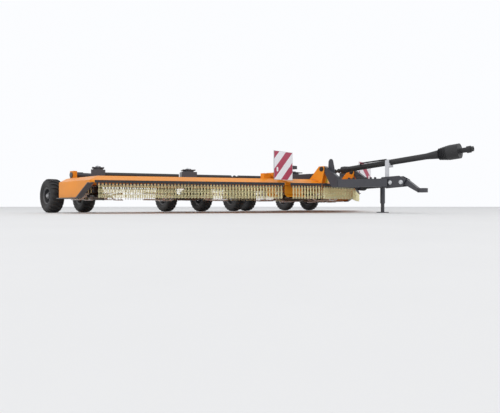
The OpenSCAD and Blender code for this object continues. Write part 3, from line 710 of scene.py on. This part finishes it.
class CUTTER_OT_chain_curtains(bpy.types.Operator):
    """Hang linked chains from a rail along each edge, two rows deep at the front"""

    bl_idname = "cutter.chain_curtains"
    bl_label = "Chain curtains"

    bar_thickness = 0.010
    bar_margin = 0.020
    link_grip = 0.004
    back_row_drop = 0.030
    back_row_lift = 0.006
    tab_size = (0.019, 0.009, 0.036)
    tab_drop = 0.016
    chains_per_bolt = 4

    def chain_count(self, line):
        """Chains that a rail has room for."""
        return int((line["length"] - self.bar_margin) / sizes().chain_pitch)

    def hang(self, line, turn, inset, shift, top, low):
        """Places of the links of one row of chains."""
        reach = sizes().link_length - 2 * sizes().link_wire
        links = int((top - low - sizes().link_length) / reach) + 1
        places = []
        for point in along_rail(line, self.chain_count(line), sizes().chain_pitch):
            spot = point + line["ahead"] * shift - line["out"] * inset
            for k in range(links):
                place = at_height(spot, low + sizes().link_length / 2 + k * reach)
                quarter = QUARTERS[k % 2]
                places.append(Matrix.Translation(place) @ turn @ quarter)
        return places

    def curtain(self, node, body):
        """Chains, toothed rails and bolts of one deck."""
        links = []
        rails = []
        tabs = []
        bolts = []
        pitch = sizes().chain_pitch
        height = sizes().rail_height
        for line in curtain_lines(node):
            top = line["top"]
            turn = Matrix.Rotation(math.atan2(line["ahead"].y, line["ahead"].x), 4, "Z")
            links += self.hang(line, turn, 0.0, 0.0, top - height + self.link_grip, line["low"])
            if at_front(line):
                links += self.hang(line, turn, sizes().row_gap, pitch / 2, top - self.back_row_drop,
                                   line["low"] + self.back_row_lift)
            bar = block((line["length"], self.bar_thickness, height), 0.0015)
            place = at_height(line["middle"], top - height / 2)
            rails.append(moved(bar, Matrix.Translation(place) @ turn))
            for point in along_rail(line, self.chain_count(line) + 1, pitch):
                tabs.append(Matrix.Translation(at_height(point, top - height - self.tab_drop)) @ turn)
            gap = self.chains_per_bolt * pitch
            for point in along_rail(line, int(line["length"] / gap), gap):
                face = at_height(point, place.z) + line["out"] * self.bar_thickness / 2
                bolts.append(pointing(face, line["out"]))
        side = node.replace("_chains", "")
        add_piece("chains_" + side, repeat(link_shape(), links), zinc_plate(), body, (node,))
        rails.append(repeat(block(self.tab_size, 0.002), tabs))
        add_piece("chain_rails_" + side, merge(rails), black_steel(), body)
        heads = repeat(bolt_shape(0.007, 0.008), bolts)
        add_piece("rail_bolts_" + side, heads, black_steel(), body)

    def execute(self, context):
        for node, body in CURTAINS:
            self.curtain(node, body)
        return {"FINISHED"}


class CUTTER_OT_deck_marks(bpy.types.Operator):
    """Put the plugs along the front lip and the ribs under the middle deck"""

    bl_idname = "cutter.deck_marks"
    bl_label = "Deck plugs and ribs"

    lip_depth = 0.030
    plug_gap = 0.75
    plug_inset = 0.064
    rib_size = (0.36, 0.006, 0.012)
    rib_turn = math.radians(24)
    rib_side = 0.34
    rib_back = 1.06
    rib_half_gap = 0.045
    rib_bolt = 0.13
    rib_sink = 0.004

    def plugs(self, node, body):
        """Plugs in the lip along the front of one deck."""
        plug = lathe([(0, 0.006), (0.011, 0.006), (0.015, 0.003), (0.016, 0.0), (0.016, -0.004),
                      (0, -0.004)], 20)
        places = []
        for line in filter(at_front, curtain_lines(node)):
            count = max(2, round(line["length"] / self.plug_gap))
            for point in along_rail(line, count, line["length"] / count):
                spot = at_height(point, line["top"] - self.lip_depth) - line["out"] * self.plug_inset
                places.append(pointing(spot, (0, 0, -1)))
        add_piece("lip_plugs_" + node.replace("_chains", ""), repeat(plug, places), black_steel(), body)

    def ribs(self):
        """Paired ribs with their bolts under the middle deck."""
        under = curtain_lines("centre_chains")[0]["top"] - self.lip_depth
        back = joint_place("centre_rotor_spin").y - self.rib_back
        ribs = []
        heads = []
        for _, sign in SIDES:
            middle = Matrix.Translation((sign * self.rib_side, back, under - self.rib_sink))
            turn = middle @ Matrix.Rotation(sign * self.rib_turn, 4, "Z")
            for way in (-1, 1):
                ribs.append(turn @ Matrix.Translation((0, way * self.rib_half_gap, 0)))
                heads.append(turn @ pointing((way * self.rib_bolt, 0, self.rib_sink), (0, 0, -1)))
        bars = repeat(block(self.rib_size, 0.0015), ribs)
        add_piece("under_ribs", bars, orange_paint(), "centre")
        bolts = repeat(bolt_shape(0.009, 0.009), heads)
        add_piece("under_bolts", bolts, black_steel(), "centre")

    def execute(self, context):
        for node, body in CURTAINS:
            self.plugs(node, body)
        self.ribs()
        return {"FINISHED"}


def smooth_step(value):
    """Eased step from 0 to 1."""
    value = min(1.0, max(0.0, value))
    return value * value * (3 - 2 * value)


def blade_shape(pan_r, tip, start_z, rise, lift):
    """Swing blade along X: flat shank, smooth bend and a paddle whose back edge lifts."""
    thick = sizes().blade_thickness
    share = tip / LARGE_TIP * 0.5 + 0.5
    shank = sizes().blade_width * share / 2
    blunt = sizes().paddle_width * share / 2
    inner = pan_r * BLADE_BOLT_SHARE - 0.045
    bend = pan_r + 0.12 * tip
    flat = bend + 0.16 * tip
    steps = 26
    rows = (-1.0, -0.80, 0.0, 0.80, 1.0)
    edges = (0.25, 1.0, 1.0, 1.0, 0.25)
    verts = []
    for layer in (0, 1):
        for i in range(steps + 1):
            for row, edge in zip(rows, edges):
                end = tip - blunt + (row + 1) / 2 * blunt
                x = inner + (end - inner) * i / steps
                half = shank + (blunt - shank) * smooth_step((x - flat + shank / 2) / (2 * shank))
                z = start_z + rise * smooth_step((x - bend) / (flat - bend))
                z += lift * max(0.0, row) * smooth_step((x - flat) / (tip - flat))
                verts.append((x, row * half, z + layer * thick * edge))
    wide = len(rows)
    page = (steps + 1) * wide
    faces = []
    for i in range(steps):
        for k in range(wide - 1):
            low = [i * wide + k, (i + 1) * wide + k, (i + 1) * wide + k + 1, i * wide + k + 1]
            faces.append(low[::-1])
            faces.append([v + page for v in low])
        for k in (0, wide - 1):
            near = i * wide + k
            far = near + wide
            ring = [near, far, far + page, near + page]
            faces.append(ring if k == 0 else ring[::-1])
    for i in (0, steps):
        for k in range(wide - 1):
            ring = [i * wide + k, i * wide + k + 1, i * wide + k + 1 + page, i * wide + k + page]
            faces.append(ring[::-1] if i == 0 else ring)
    return np.array(verts), faces


class CUTTER_OT_rotors(bpy.types.Operator):
    """Shape the dished pans, hubs, spindle rings and paired blades"""

    bl_idname = "cutter.rotors"
    bl_label = "Rotors"

    pan_thickness = 0.009
    hub_radius = 0.070
    bore_radius = 0.0288
    bore_depth = 0.0965
    carrier_thickness = 0.016
    hole_share = 0.55
    lower_bend = -0.050
    lower_lift = 0.012
    upper_bend = 0.036
    upper_lift = 0.024

    def bowl(self, share):
        """Height of the pan's underside above its lowest point, at a share of its radius."""
        return sizes().pan_dish * 0.92 * share ** 3.2

    def pan(self, radius, low):
        """Dished pan, closed, seen from below as a smooth bowl."""
        steps = 12
        thick = self.pan_thickness
        outer = [(radius * i / steps, low + self.bowl(i / steps)) for i in range(steps + 1)]
        rim = [(radius, low + sizes().pan_dish), (radius - 0.004, low + sizes().pan_dish + 0.001)]
        upper = [(radius * i / steps, low + self.bowl(i / steps) + thick) for i in range(steps - 1, -1, -1)]
        return lathe(outer + rim + upper, 96)

    def hub(self, pan_radius, low, top):
        """Hub with its blade carrier above the pan."""
        carrier = low + sizes().pan_dish + 2 * sizes().blade_thickness
        plate = carrier + self.carrier_thickness
        reach = pan_radius * 0.9
        radius = self.hub_radius
        bore = self.bore_radius
        bottom = top - self.bore_depth
        return lathe([(0, low + 0.004), (radius, low + 0.004), (radius, carrier), (reach - 0.003, carrier),
                      (reach, carrier + 0.003), (reach, plate - 0.003), (reach - 0.003, plate),
                      (0.098, plate), (0.090, plate + 0.014), (0.074, plate + 0.024),
                      (radius, top - 0.012), (0.066, top), (bore, top), (bore, bottom), (0, bottom)], 56)

    def painted_pan_holes(self, name, body, spot, radius, low):
        """Two bolt holes in the pan, square to its bowl, each a black disc of painted shade with a bolt head
        in it.
        """
        share = self.hole_share
        slope = (self.bowl(share + 0.01) - self.bowl(share - 0.01)) / (0.02 * radius)
        rims = []
        bolts = []
        for turn in (math.radians(135), math.radians(315)):
            way = Vector((math.cos(turn), math.sin(turn), 0))
            place = at_height(spot + way * share * radius, low + self.bowl(share))
            down = way * slope - Vector((0, 0, 1))
            rims.append(pointing(place, down))
            bolts.append(pointing(place + down * 0.002, down))
        # The pan stays closed: each bolt opening is a thin black disc on its underside, painted shade in
        # place of a real opening.
        shade_disc = lathe([(0, 0.002), (0.0285, 0.002), (0.031, 0.0), (0.031, -0.004), (0, -0.004)], 28)
        add_piece("painted_pan_holes_" + name, repeat(shade_disc, rims), black_steel(), body)
        heads = repeat(bolt_shape(0.0105, 0.008), bolts)
        add_piece("pan_bolts_" + name, heads, bright_zinc(), body)

    def rotor(self, name, joint, body, deck_body, other_hand):
        """Pan, hub and blades of one rotor, with the ring on its deck."""
        spot = joint_place(joint)
        low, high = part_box("rotor_" + name)
        blade_low, blade_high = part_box("blades_" + name)
        pan_r = (high.x - low.x) / 2
        tip = (blade_high.x - blade_low.x) / 2
        thick = sizes().blade_thickness
        base = low.z + sizes().pan_dish
        place = Matrix.Translation((spot.x, spot.y, 0))
        arms = [place @ turn for turn in QUARTERS]

        pan = moved(self.pan(pan_r, low.z), place)
        add_piece("pan_" + name, pan, pan_steel(), body, ("rotor_" + name,))
        stack = Matrix.Translation((pan_r * BLADE_BOLT_SHARE, 0, base + 2 * thick + self.carrier_thickness))
        stacks = [arm @ stack for arm in arms]
        clamps = [arm @ Matrix.Translation((pan_r + 0.012, 0, base + thick)) for arm in arms]
        clamp = block((0.044, sizes().blade_width + 0.012, 2 * thick + 0.010), 0.003)
        hub = merge([moved(self.hub(pan_r, low.z, high.z), place),
                     repeat(bolt_shape(0.020, 0.020), stacks), repeat(clamp, clamps)])
        add_piece("hub_" + name, hub, black_steel(), body)
        self.painted_pan_holes(name, body, spot, pan_r, low.z)

        collar = lathe([(0.0985, 0), (0.132, 0), (0.136, 0.003), (0.136, 0.008), (0.104, 0.016),
                        (0.0985, 0.016), (0.0985, 0)], 48)
        collar = moved(collar, Matrix.Translation(at_height(spot, high.z + 0.016)))
        add_piece("spindle_ring_" + name, collar, ring_orange(), deck_body)

        lower = blade_shape(pan_r, tip, base, self.lower_bend, self.lower_lift)
        upper = blade_shape(pan_r, tip, base + thick, self.upper_bend, self.upper_lift)
        blades = merge([repeat(lower, QUARTERS), repeat(upper, QUARTERS)])
        if other_hand:
            blades = mirrored(blades)
        add_piece("paddles_" + name, moved(blades, place), blade_steel(), body,
                  ("blades_" + name,))

    def execute(self, context):
        self.rotor("centre", "centre_rotor_spin", "centre_rotor", "centre", False)
        for side, sign in SIDES:
            for row in ("inner", "outer"):
                self.rotor(f"{row}_{side}", f"{row}_rotor_spin_{side}", f"{row}_rotor_{side}",
                           "wing_" + side, sign < 0)
        return {"FINISHED"}


def tyre_carcass(radius, half, rim_radius, tread):
    """Rounded body of a tyre between its two beads."""
    profile = [(rim_radius, -0.72 * half), (rim_radius + 0.012, -0.78 * half),
               (radius * 0.60, -0.93 * half), (radius * 0.66, -0.955 * half),
               (radius * 0.68, -0.985 * half), (radius * 0.72, -0.985 * half),
               (radius * 0.74, -0.99 * half), (radius * 0.82, -0.985 * half),
               (tread - 0.016, -0.90 * half), (tread - 0.004, -0.72 * half), (tread, -0.4 * half)]
    profile = profile + [(r, -h) for r, h in reversed(profile)]
    profile.append(profile[0])
    return lathe(profile, 88)


def tyre_lug(radius, half, tread):
    """One bar lug of the upper shoulder, leaning and wider at its foot."""
    crown = radius - 0.0012
    outline = [(-0.06 * half, tread - 0.004), (0.80 * half, tread - 0.018), (0.93 * half, radius * 0.86),
               (0.90 * half, radius * 0.905), (0.70 * half, crown - 0.004), (0.5 * half, crown),
               (-0.06 * half, crown)]
    lean = 0.020
    foot = 0.0195
    head = 0.0150
    lug = bmesh.new()
    ring = []
    for edge in (-1, 1):
        row = []
        for h, r in outline:
            wide = head if r > tread + 0.006 else foot
            row.append(lug.verts.new((r, edge * wide + lean * (h / half - 0.4), h)))
        ring.append(row)
    count = len(outline)
    lug.faces.new(ring[0])
    lug.faces.new(ring[1][::-1])
    for i in range(count):
        j = (i + 1) % count
        lug.faces.new([ring[0][j], ring[0][i], ring[1][i], ring[1][j]])
    bmesh.ops.recalc_face_normals(lug, faces=lug.faces)
    return from_bmesh(lug)


def tyre_shape(radius, width, rim_radius):
    """Agricultural tyre with two staggered rings of bar lugs."""
    tread = radius - 0.016
    half = width / 2
    lug = tyre_lug(radius, half, tread)
    number = sizes().lug_count
    over = Matrix.Rotation(math.pi, 4, "X")
    upper = []
    lower = []
    for i in range(number):
        upper.append(Matrix.Rotation(2 * math.pi * (i + 0.25) / number, 4, "Z"))
        lower.append(Matrix.Rotation(2 * math.pi * (i - 0.25) / number, 4, "Z") @ over)
    return merge([tyre_carcass(radius, half, rim_radius, tread), repeat(lug, upper), repeat(lug, lower)])


class CUTTER_OT_wheels(bpy.types.Operator):
    """Put lugged tyres, hub caps and wheel nuts on the eight wheels"""

    bl_idname = "cutter.wheels"
    bl_label = "Wheels"

    def execute(self, context):
        low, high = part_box("tyre_centre_in_right")
        rim_low, rim_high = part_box("rim_centre_in_right")
        rim_r = (rim_high.z - rim_low.z) / 2
        tyre = tyre_shape((high.z - low.z) / 2, high.x - low.x, rim_r)
        lip = lathe([(rim_r - 0.012, 0.066), (rim_r - 0.002, 0.068), (rim_r + 0.010, 0.080),
                     (rim_r + 0.006, 0.088), (rim_r - 0.006, 0.084), (rim_r - 0.014, 0.074),
                     (rim_r - 0.012, 0.066)], 64)
        dish = lathe([(0.050, 0.030), (0.074, 0.026), (0.092, 0.012), (rim_r - 0.011, 0.008),
                      (rim_r - 0.011, 0.004), (0.050, 0.006), (0.050, 0.030)], 64)
        cap = lathe([(0, 0.086), (0.022, 0.086), (0.030, 0.080), (0.034, 0.066), (0.044, 0.062),
                     (0.047, 0.055), (0.047, 0.040), (0, 0.040)], 32)
        nut_circle = Matrix.Translation((0.066, 0, 0.026))
        nuts = [Matrix.Rotation(2 * math.pi * i / 5, 4, "Z") @ nut_circle for i in range(5)]
        cap = merge([cap, repeat(bolt_shape(0.0095, 0.016), nuts)])
        for side, sign in SIDES:
            for wheel in WHEELS:
                name = f"{wheel}_{side}"
                body = "wheel_" + name
                place = joint_place(f"wheel_{wheel}_spin_{side}")
                outward = sign if wheel in ("centre_out", "wing_out") else -sign
                turn = Matrix.Translation(place) @ Matrix.Rotation(outward * math.pi / 2, 4, "Y")
                add_piece("tyre_" + name + "_lugged", moved(tyre, turn), rubber(), body,
                          ("tyre_" + name,))
                back = turn @ Matrix.Rotation(math.pi, 4, "Y")
                lips = merge([moved(lip, turn), moved(lip, back), moved(dish, turn)])
                add_piece("rim_lips_" + name, lips, rim_paint(), body)
                add_piece("hub_cap_" + name, moved(cap, turn), hub_grey(), body)
        return {"FINISHED"}


class CUTTER_OT_gear_covers(bpy.types.Operator):
    """Dress the gear housings with covers, bolts and filler plugs"""

    bl_idname = "cutter.gear_covers"
    bl_label = "Gear covers"

    cover_thickness = 0.014
    boss_height = 0.032
    centre_width = 0.290
    inner_width = 0.250
    outer_width = 0.210

    def cover(self, name, spot, way, size, body, node):
        """Cover plate of a housing of the given width, turned along its cross shaft."""
        turn = Matrix.Rotation(math.atan2(way.y, way.x), 4, "Z")
        place = Matrix.Translation(at_height(spot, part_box(node)[1].z)) @ turn
        thick = self.cover_thickness
        plate = moved(block((size * 0.86, size * 0.86, thick), 0.004), Matrix.Translation((0, 0, thick / 2)))
        boss = lathe([(0, self.boss_height), (size * 0.17, self.boss_height), (size * 0.20, 0.026),
                      (size * 0.22, 0.012), (0, 0.012)], 40)
        add_piece("gear_cover_" + name, moved(merge([plate, boss]), place), charcoal_paint(), body)
        reach = size * 0.37
        spots = [Matrix.Translation((i * reach, j * reach, thick))
                 for i in (-1, 0, 1) for j in (-1, 0, 1) if i or j]
        plug = moved(bolt_shape(0.012, 0.020), Matrix.Translation((size * 0.05, 0, self.boss_height)))
        bolts = merge([repeat(bolt_shape(0.007, 0.006), spots), plug])
        add_piece("gear_bolts_" + name, moved(bolts, place), bright_zinc(), body)

    def execute(self, context):
        centre = joint_place("centre_rotor_spin")
        self.cover("centre", centre, Vector((1, 0, 0)), self.centre_width, "centre", "centre_gearbox")
        for side, _ in SIDES:
            inner = joint_place("inner_rotor_spin_" + side)
            outer = joint_place("outer_rotor_spin_" + side)
            body = "wing_" + side
            node = "wing_gearboxes_" + side
            self.cover("inner_" + side, inner, inner - centre, self.inner_width, body, node)
            self.cover("outer_" + side, outer, outer - inner, self.outer_width, body, node)
        return {"FINISHED"}


def coil(base, radius, wire, turns, height):
    """Spring standing on its base point."""
    steps = 14 * turns
    line = []
    for i in range(steps + 1):
        angle = 2 * math.pi * turns * i / steps
        line.append(Vector(base) + Vector((radius * math.cos(angle), radius * math.sin(angle),
                                           wire + (height - 2 * wire) * i / steps)))
    return tube(line, wire, 7)


class CUTTER_OT_hinge_flaps(bpy.types.Operator):
    """Fold the guard flaps at the hinges out of sheet, with a foot and bolts"""

    bl_idname = "cutter.hinge_flaps"
    bl_label = "Hinge flaps"

    sheet = 0.006

    def flap(self, low, high, inner, tail):
        """Sheet and bolts of a right-hand flap from its inner end, run on outward by a tail."""
        start = Vector((inner, high.y - 0.007, 0))
        end = Vector((high.x - 0.004, low.y, 0))
        foot = sizes().flap_foot
        profile = [(0, high.z), (0, low.z + 0.045), (foot, low.z), (foot + 0.002, low.z + self.sheet),
                   (self.sheet, low.z + 0.050), (self.sheet, high.z)]
        heading = math.atan2(end.y - start.y, end.x - start.x)
        place = Matrix.Translation(start) @ Matrix.Rotation(heading, 4, "Z")
        width = (end - start).length
        bolts = []
        for share in (0.25, 0.75):
            bolts.append(place @ pointing((width * share, self.sheet, high.z - 0.024), (0, 1, 0)))
        return moved(plate_shape(profile, 0, width + tail), place), repeat(bolt_shape(0.008, 0.008), bolts)

    def add(self, name, body, node, sheets, bolts):
        """Adds the sheets and bolts of one body."""
        add_piece("flap_sheet_" + name, merge(sheets), flap_yellow(), body, (node,))
        add_piece("flap_bolts_" + name, merge(bolts), black_steel(), body)

    def execute(self, context):
        low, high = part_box("hinge_flap_right")
        run = high.x - low.x
        sheet, bolts = self.flap(low, high, low.x, 0.0)
        self.add("right", "wing_right", "hinge_flap_right", [sheet], [bolts])
        self.add("left", "wing_left", "hinge_flap_left", [mirrored(sheet)], [mirrored(bolts)])
        low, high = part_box("hinge_flaps")
        sheet, bolts = self.flap(low, high, high.x - run, sizes().flap_tail)
        self.add("centre", "centre", "hinge_flaps", [sheet, mirrored(sheet)], [bolts, mirrored(bolts)])
        return {"FINISHED"}


class CUTTER_OT_drawbar_fittings(bpy.types.Operator):
    """Put the pins, springs, clips, sleeve and hold rod on the drawbar"""

    bl_idname = "cutter.drawbar_fittings"
    bl_label = "Drawbar fittings"

    beam_offset = 0.020
    kink_to_jack = 0.325
    pin_to_head = 0.940
    head_bolt_gap = 0.170
    head_plate = 0.076
    clevis_half = 0.054
    spring_inset = 0.098
    spring_height = 0.100
    clip_size = (0.034, 0.050, 0.026)
    clip_count = 7
    clip_start = 0.26
    clip_step = 0.085

    def pins(self, pin, head, half):
        """Bolts of the head plates and of the clevis brackets."""
        bolts = []
        heads = []
        for sign in (1, -1):
            for y in (head.y, head.y + self.head_bolt_gap):
                bolts.append(pointing((sign * self.head_plate, y, head.z), (sign, 0, 0)))
            for way in (1, -1):
                heads.append(pointing((sign * half + way * self.clevis_half, pin.y, pin.z), (way, 0, 0)))
        shape = repeat(bolt_shape(0.0215, 0.021), bolts)
        add_piece("head_bolts", shape, bright_zinc(), "drawbar")
        shape = repeat(bolt_shape(0.026, 0.016), heads)
        add_piece("clevis_bolts", shape, black_steel(), "centre")

    def springs(self, pin, half):
        """Yellow springs under caps beside the clevis brackets."""
        base = curtain_lines("centre_chains")[0]["top"] + 0.008
        coils = []
        caps = []
        for sign in (1, -1):
            spot = Vector((sign * (half - self.spring_inset), pin.y - 0.022, base))
            coils.append(coil(spot, 0.028, 0.0065, 6, self.spring_height))
            caps.append(Matrix.Translation(at_height(spot, base + self.spring_height + 0.004)))
        yellow = finish("spring_yellow", (0.80, 0.55, 0.03), 0.40, coat=0.2)
        add_piece("clevis_springs", merge(coils), yellow, "centre")
        cap = block((0.090, 0.066, 0.008))
        add_piece("spring_caps", repeat(cap, caps), orange_paint(), "centre")

    def fin(self, pin, half):
        """Upright plate on the rear end of the right beam."""
        outline = [(0.062, -0.020), (0.075, -0.060), (0.190, -0.130), (0.200, -0.100), (0.150, 0.130),
                   (0.135, 0.152), (0.110, 0.160), (0.085, 0.150), (0.068, 0.120)]
        plate = plate_shape([(pin.y + y, pin.z + z) for y, z in outline], half - 0.047, half - 0.0352)
        add_piece("arm_fin", plate, charcoal_paint(), "drawbar")

    def clips(self, kink, head):
        """Clips in a row on the right beam."""
        end = Vector((self.head_plate, head.y - 0.045, kink.z))
        turn = Matrix.Rotation(math.atan2(end.y - kink.y, end.x - kink.x), 4, "Z")
        places = []
        for i in range(self.clip_count):
            spot = kink.lerp(end, self.clip_start + self.clip_step * i)
            places.append(Matrix.Translation(spot + Vector((0, 0, 0.012))) @ turn)
        shape = repeat(block(self.clip_size, 0.006), places)
        add_piece("beam_clips", shape, black_plastic(), "drawbar")

    def sleeve(self, place):
        """Ribbed sleeve round the cross tube."""
        bore = 0.0585
        rib_gap = 0.022
        profile = [(bore, 0.0)]
        for i in range(8):
            profile += [(0.060, rib_gap * i + 0.002), (0.073, rib_gap * i + 0.009),
                        (0.073, rib_gap * i + 0.013), (0.060, rib_gap * i + 0.020)]
        profile += [(bore, 0.178), (bore, 0.0)]
        shape = moved(lathe(profile, 40), pointing(place, (1, 0, 0)))
        add_piece("cross_sleeve", shape, black_plastic(), "drawbar")

    def rod(self, pin):
        """Bent rod that holds the drive shaft's guard, along the shaft's slope."""
        shaft_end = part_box("drive_shaft")[1]
        pitch = (shaft_end.z - 0.102 - pin.z) / (shaft_end.y - pin.y - 0.2)
        line = []
        for x, y, lift in ((0.040, 0.430, 0.015), (0.058, 0.434, 0.034), (0.070, 0.446, 0.045),
                           (0.072, 0.470, 0.048), (0.072, 0.560, 0.048), (0.070, 0.760, 0.044),
                           (0.069, 0.880, 0.040)):
            line.append((x, pin.y + y, pin.z + y * pitch + lift))
        add_piece("hold_rod", tube(smooth_line(line, 5), 0.011, 12), black_steel(), "drawbar")

    def execute(self, context):
        pin = joint_place("drawbar_pitch")
        jack = joint_place("jack_swing")
        half = self.beam_offset - jack.x
        head = Vector((0, pin.y + self.pin_to_head, jack.z))
        kink = Vector((half, jack.y - self.kink_to_jack, jack.z))
        self.pins(pin, head, half)
        self.springs(pin, half)
        self.fin(pin, half)
        self.clips(kink + Vector((0, 0, 0.060)), head)
        self.sleeve((-half + 0.050, kink.y + 0.005, kink.z - 0.020))
        self.rod(pin)
        return {"FINISHED"}


class CUTTER_OT_board_fittings(bpy.types.Operator):
    """Put rims, bolts and a blank oval on the warning boards"""

    bl_idname = "cutter.board_fittings"
    bl_label = "Board fittings"

    rim = 0.005
    oval_radius = 0.018
    oval_half = 0.016
    oval_inset_share = 0.17
    oval_level_share = 0.36
    bolt_shares = (-0.35, 0.014)
    bolt_level = 0.205

    def oval(self, x, y, z):
        """Thin plate with round ends, standing on the board's front."""
        points = []
        for i in range(24):
            angle = 2 * math.pi * i / 24
            stretch = self.oval_half if math.sin(angle) > 0 else -self.oval_half
            points.append((x + self.oval_radius * math.cos(angle), y,
                           z + stretch + self.oval_radius * math.sin(angle)))
        return prism(points, (0, 0.003, 0))

    def execute(self, context):
        low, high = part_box("warning_boards")
        front = high.y
        side = high.z - low.z
        level = (low.z + high.z) / 2
        inset = side / 2 - self.rim / 2
        ovals = []
        rims = []
        bolts = []
        for sign in (1, -1):
            ovals.append(self.oval(sign * (high.x - self.oval_inset_share * side), front + 0.0005,
                                   low.z + self.oval_level_share * side))
            middle = sign * (high.x - side / 2)
            for along, up in ((0, 1), (0, -1), (1, 0), (-1, 0)):
                bar = block((side if up else self.rim, 0.0085, self.rim if up else side), 0.001)
                place = (middle + along * inset, front - 0.003, level + up * inset)
                rims.append(moved(bar, Matrix.Translation(place)))
            for share in self.bolt_shares:
                spot = (middle + sign * side * share, front + 0.0002, low.z + self.bolt_level)
                bolts.append(pointing(spot, (0, 1, 0)))
        pale = finish("oval_white", (0.86, 0.86, 0.88), 0.3, coat=0.4)
        add_piece("board_ovals", merge(ovals), pale, "centre")
        add_piece("board_rims", merge(rims), bright_zinc(), "centre")
        add_piece("board_bolts", repeat(bolt_shape(0.006, 0.006), bolts), bright_zinc(), "centre")
        return {"FINISHED"}


class CUTTER_OT_stage(bpy.types.Operator):
    """Set the floor, the light and the camera"""

    bl_idname = "cutter.stage"
    bl_label = "Stage"

    floor_half = 150
    sky_light = 0.78
    lens = 32.4
    camera_place = (6.27, 4.97, 0.10)
    camera_look = (-0.711, -0.703, 0.0)

    def lamp(self, name, place, aim, size, power):
        """Area lamp that faces a point."""
        data = bpy.data.lights.new(name, "AREA")
        data.shape = "RECTANGLE"
        data.size, data.size_y = size
        data.energy = power
        lamp = bpy.data.objects.new(name, data)
        lamp.location = place
        way = Vector(aim) - Vector(place)
        lamp.rotation_euler = way.to_track_quat("-Z", "Y").to_euler()
        bpy.context.scene.collection.objects.link(lamp)

    def floor(self, scene):
        """Wide pale floor just under the wheels."""
        bm = bmesh.new()
        bmesh.ops.create_grid(bm, x_segments=1, y_segments=1, size=self.floor_half)
        mesh = bpy.data.meshes.new("floor")
        bm.to_mesh(mesh)
        bm.free()
        floor = bpy.data.objects.new("floor", mesh)
        floor.location.z = CAD_BOX[0][2] - 0.0005
        scene.collection.objects.link(floor)
        mesh.materials.append(finish("floor_pale", (0.82, 0.82, 0.82), 0.8, bump=0.0, tone=0.012))

    def sky(self, scene):
        """Even light all round, white where the camera or a reflection sees it."""
        world = bpy.data.worlds.new("studio")
        scene.world = world
        world.use_nodes = True
        tree = world.node_tree
        back = tree.nodes["Background"]
        back.inputs["Color"].default_value = (0.97, 0.98, 1.0, 1.0)
        path = tree.nodes.new("ShaderNodeLightPath")
        seen = math_node(tree, "MAXIMUM", path.outputs["Is Camera Ray"], path.outputs["Is Glossy Ray"])
        seen = math_node(tree, "MAXIMUM", seen, path.outputs["Is Transmission Ray"])
        strength = tree.nodes.new("ShaderNodeMapRange")
        strength.inputs["To Min"].default_value = self.sky_light
        strength.inputs["To Max"].default_value = 1.0
        tree.links.new(seen, strength.inputs["Value"])
        tree.links.new(strength.outputs["Result"], back.inputs["Strength"])

    def camera(self, scene):
        """Level camera low over the floor."""
        camera = bpy.data.objects.new("camera", bpy.data.cameras.new("camera"))
        camera.data.lens = self.lens
        camera.data.sensor_width = 36.0
        camera.location = self.camera_place
        look = Vector(self.camera_look)
        camera.rotation_euler = look.to_track_quat("-Z", "Y").to_euler()
        scene.collection.objects.link(camera)
        scene.camera = camera

    def execute(self, context):
        scene = context.scene
        scene.view_settings.view_transform = "Standard"
        self.floor(scene)
        self.sky(scene)
        self.lamp("key", (13.0, 8.0, 14.0), (0, 0, 0.4), (10, 10), 760)
        self.lamp("low_front", (4.6, 24.5, 5.3), (0.4, -0.5, 0.30), (18, 7.2), 300)
        self.lamp("low_side", (24.5, 1.8, 5.3), (0.5, -0.8, 0.30), (16, 7.2), 220)
        self.camera(scene)
        return {"FINISHED"}


OPERATORS = (CUTTER_OT_finishes, CUTTER_OT_chain_curtains, CUTTER_OT_deck_marks, CUTTER_OT_rotors,
             CUTTER_OT_wheels, CUTTER_OT_gear_covers, CUTTER_OT_hinge_flaps, CUTTER_OT_drawbar_fittings,
             CUTTER_OT_board_fittings, CUTTER_OT_stage)


class CUTTER_PT_panel(bpy.types.Panel):
    """Pieces of the cutter"""

    bl_idname = "CUTTER_PT_panel"
    bl_label = "Rotary cutter"
    bl_space_type = "VIEW_3D"
    bl_region_type = "UI"
    bl_category = "Cutter"

    def draw(self, context):
        for operator in OPERATORS:
            self.layout.operator(operator.bl_idname)


CLASSES = (CutterSizes, CutterColours, *OPERATORS, CUTTER_PT_panel)


def register():
    for cls in CLASSES:
        bpy.utils.register_class(cls)
    bpy.types.Scene.cutter_sizes = bpy.props.PointerProperty(type=CutterSizes)
    bpy.types.Scene.cutter_colours = bpy.props.PointerProperty(type=CutterColours)


def unregister():
    del bpy.types.Scene.cutter_colours
    del bpy.types.Scene.cutter_sizes
    for cls in reversed(CLASSES):
        bpy.utils.unregister_class(cls)


def main():
    """Builds every piece in turn."""
    register()
    bpy.ops.cutter.finishes()
    bpy.ops.cutter.chain_curtains()
    bpy.ops.cutter.deck_marks()
    bpy.ops.cutter.rotors()
    bpy.ops.cutter.wheels()
    bpy.ops.cutter.gear_covers()
    bpy.ops.cutter.hinge_flaps()
    bpy.ops.cutter.drawbar_fittings()
    bpy.ops.cutter.board_fittings()
    bpy.ops.cutter.stage()


if __name__ == "__main__":
    main()
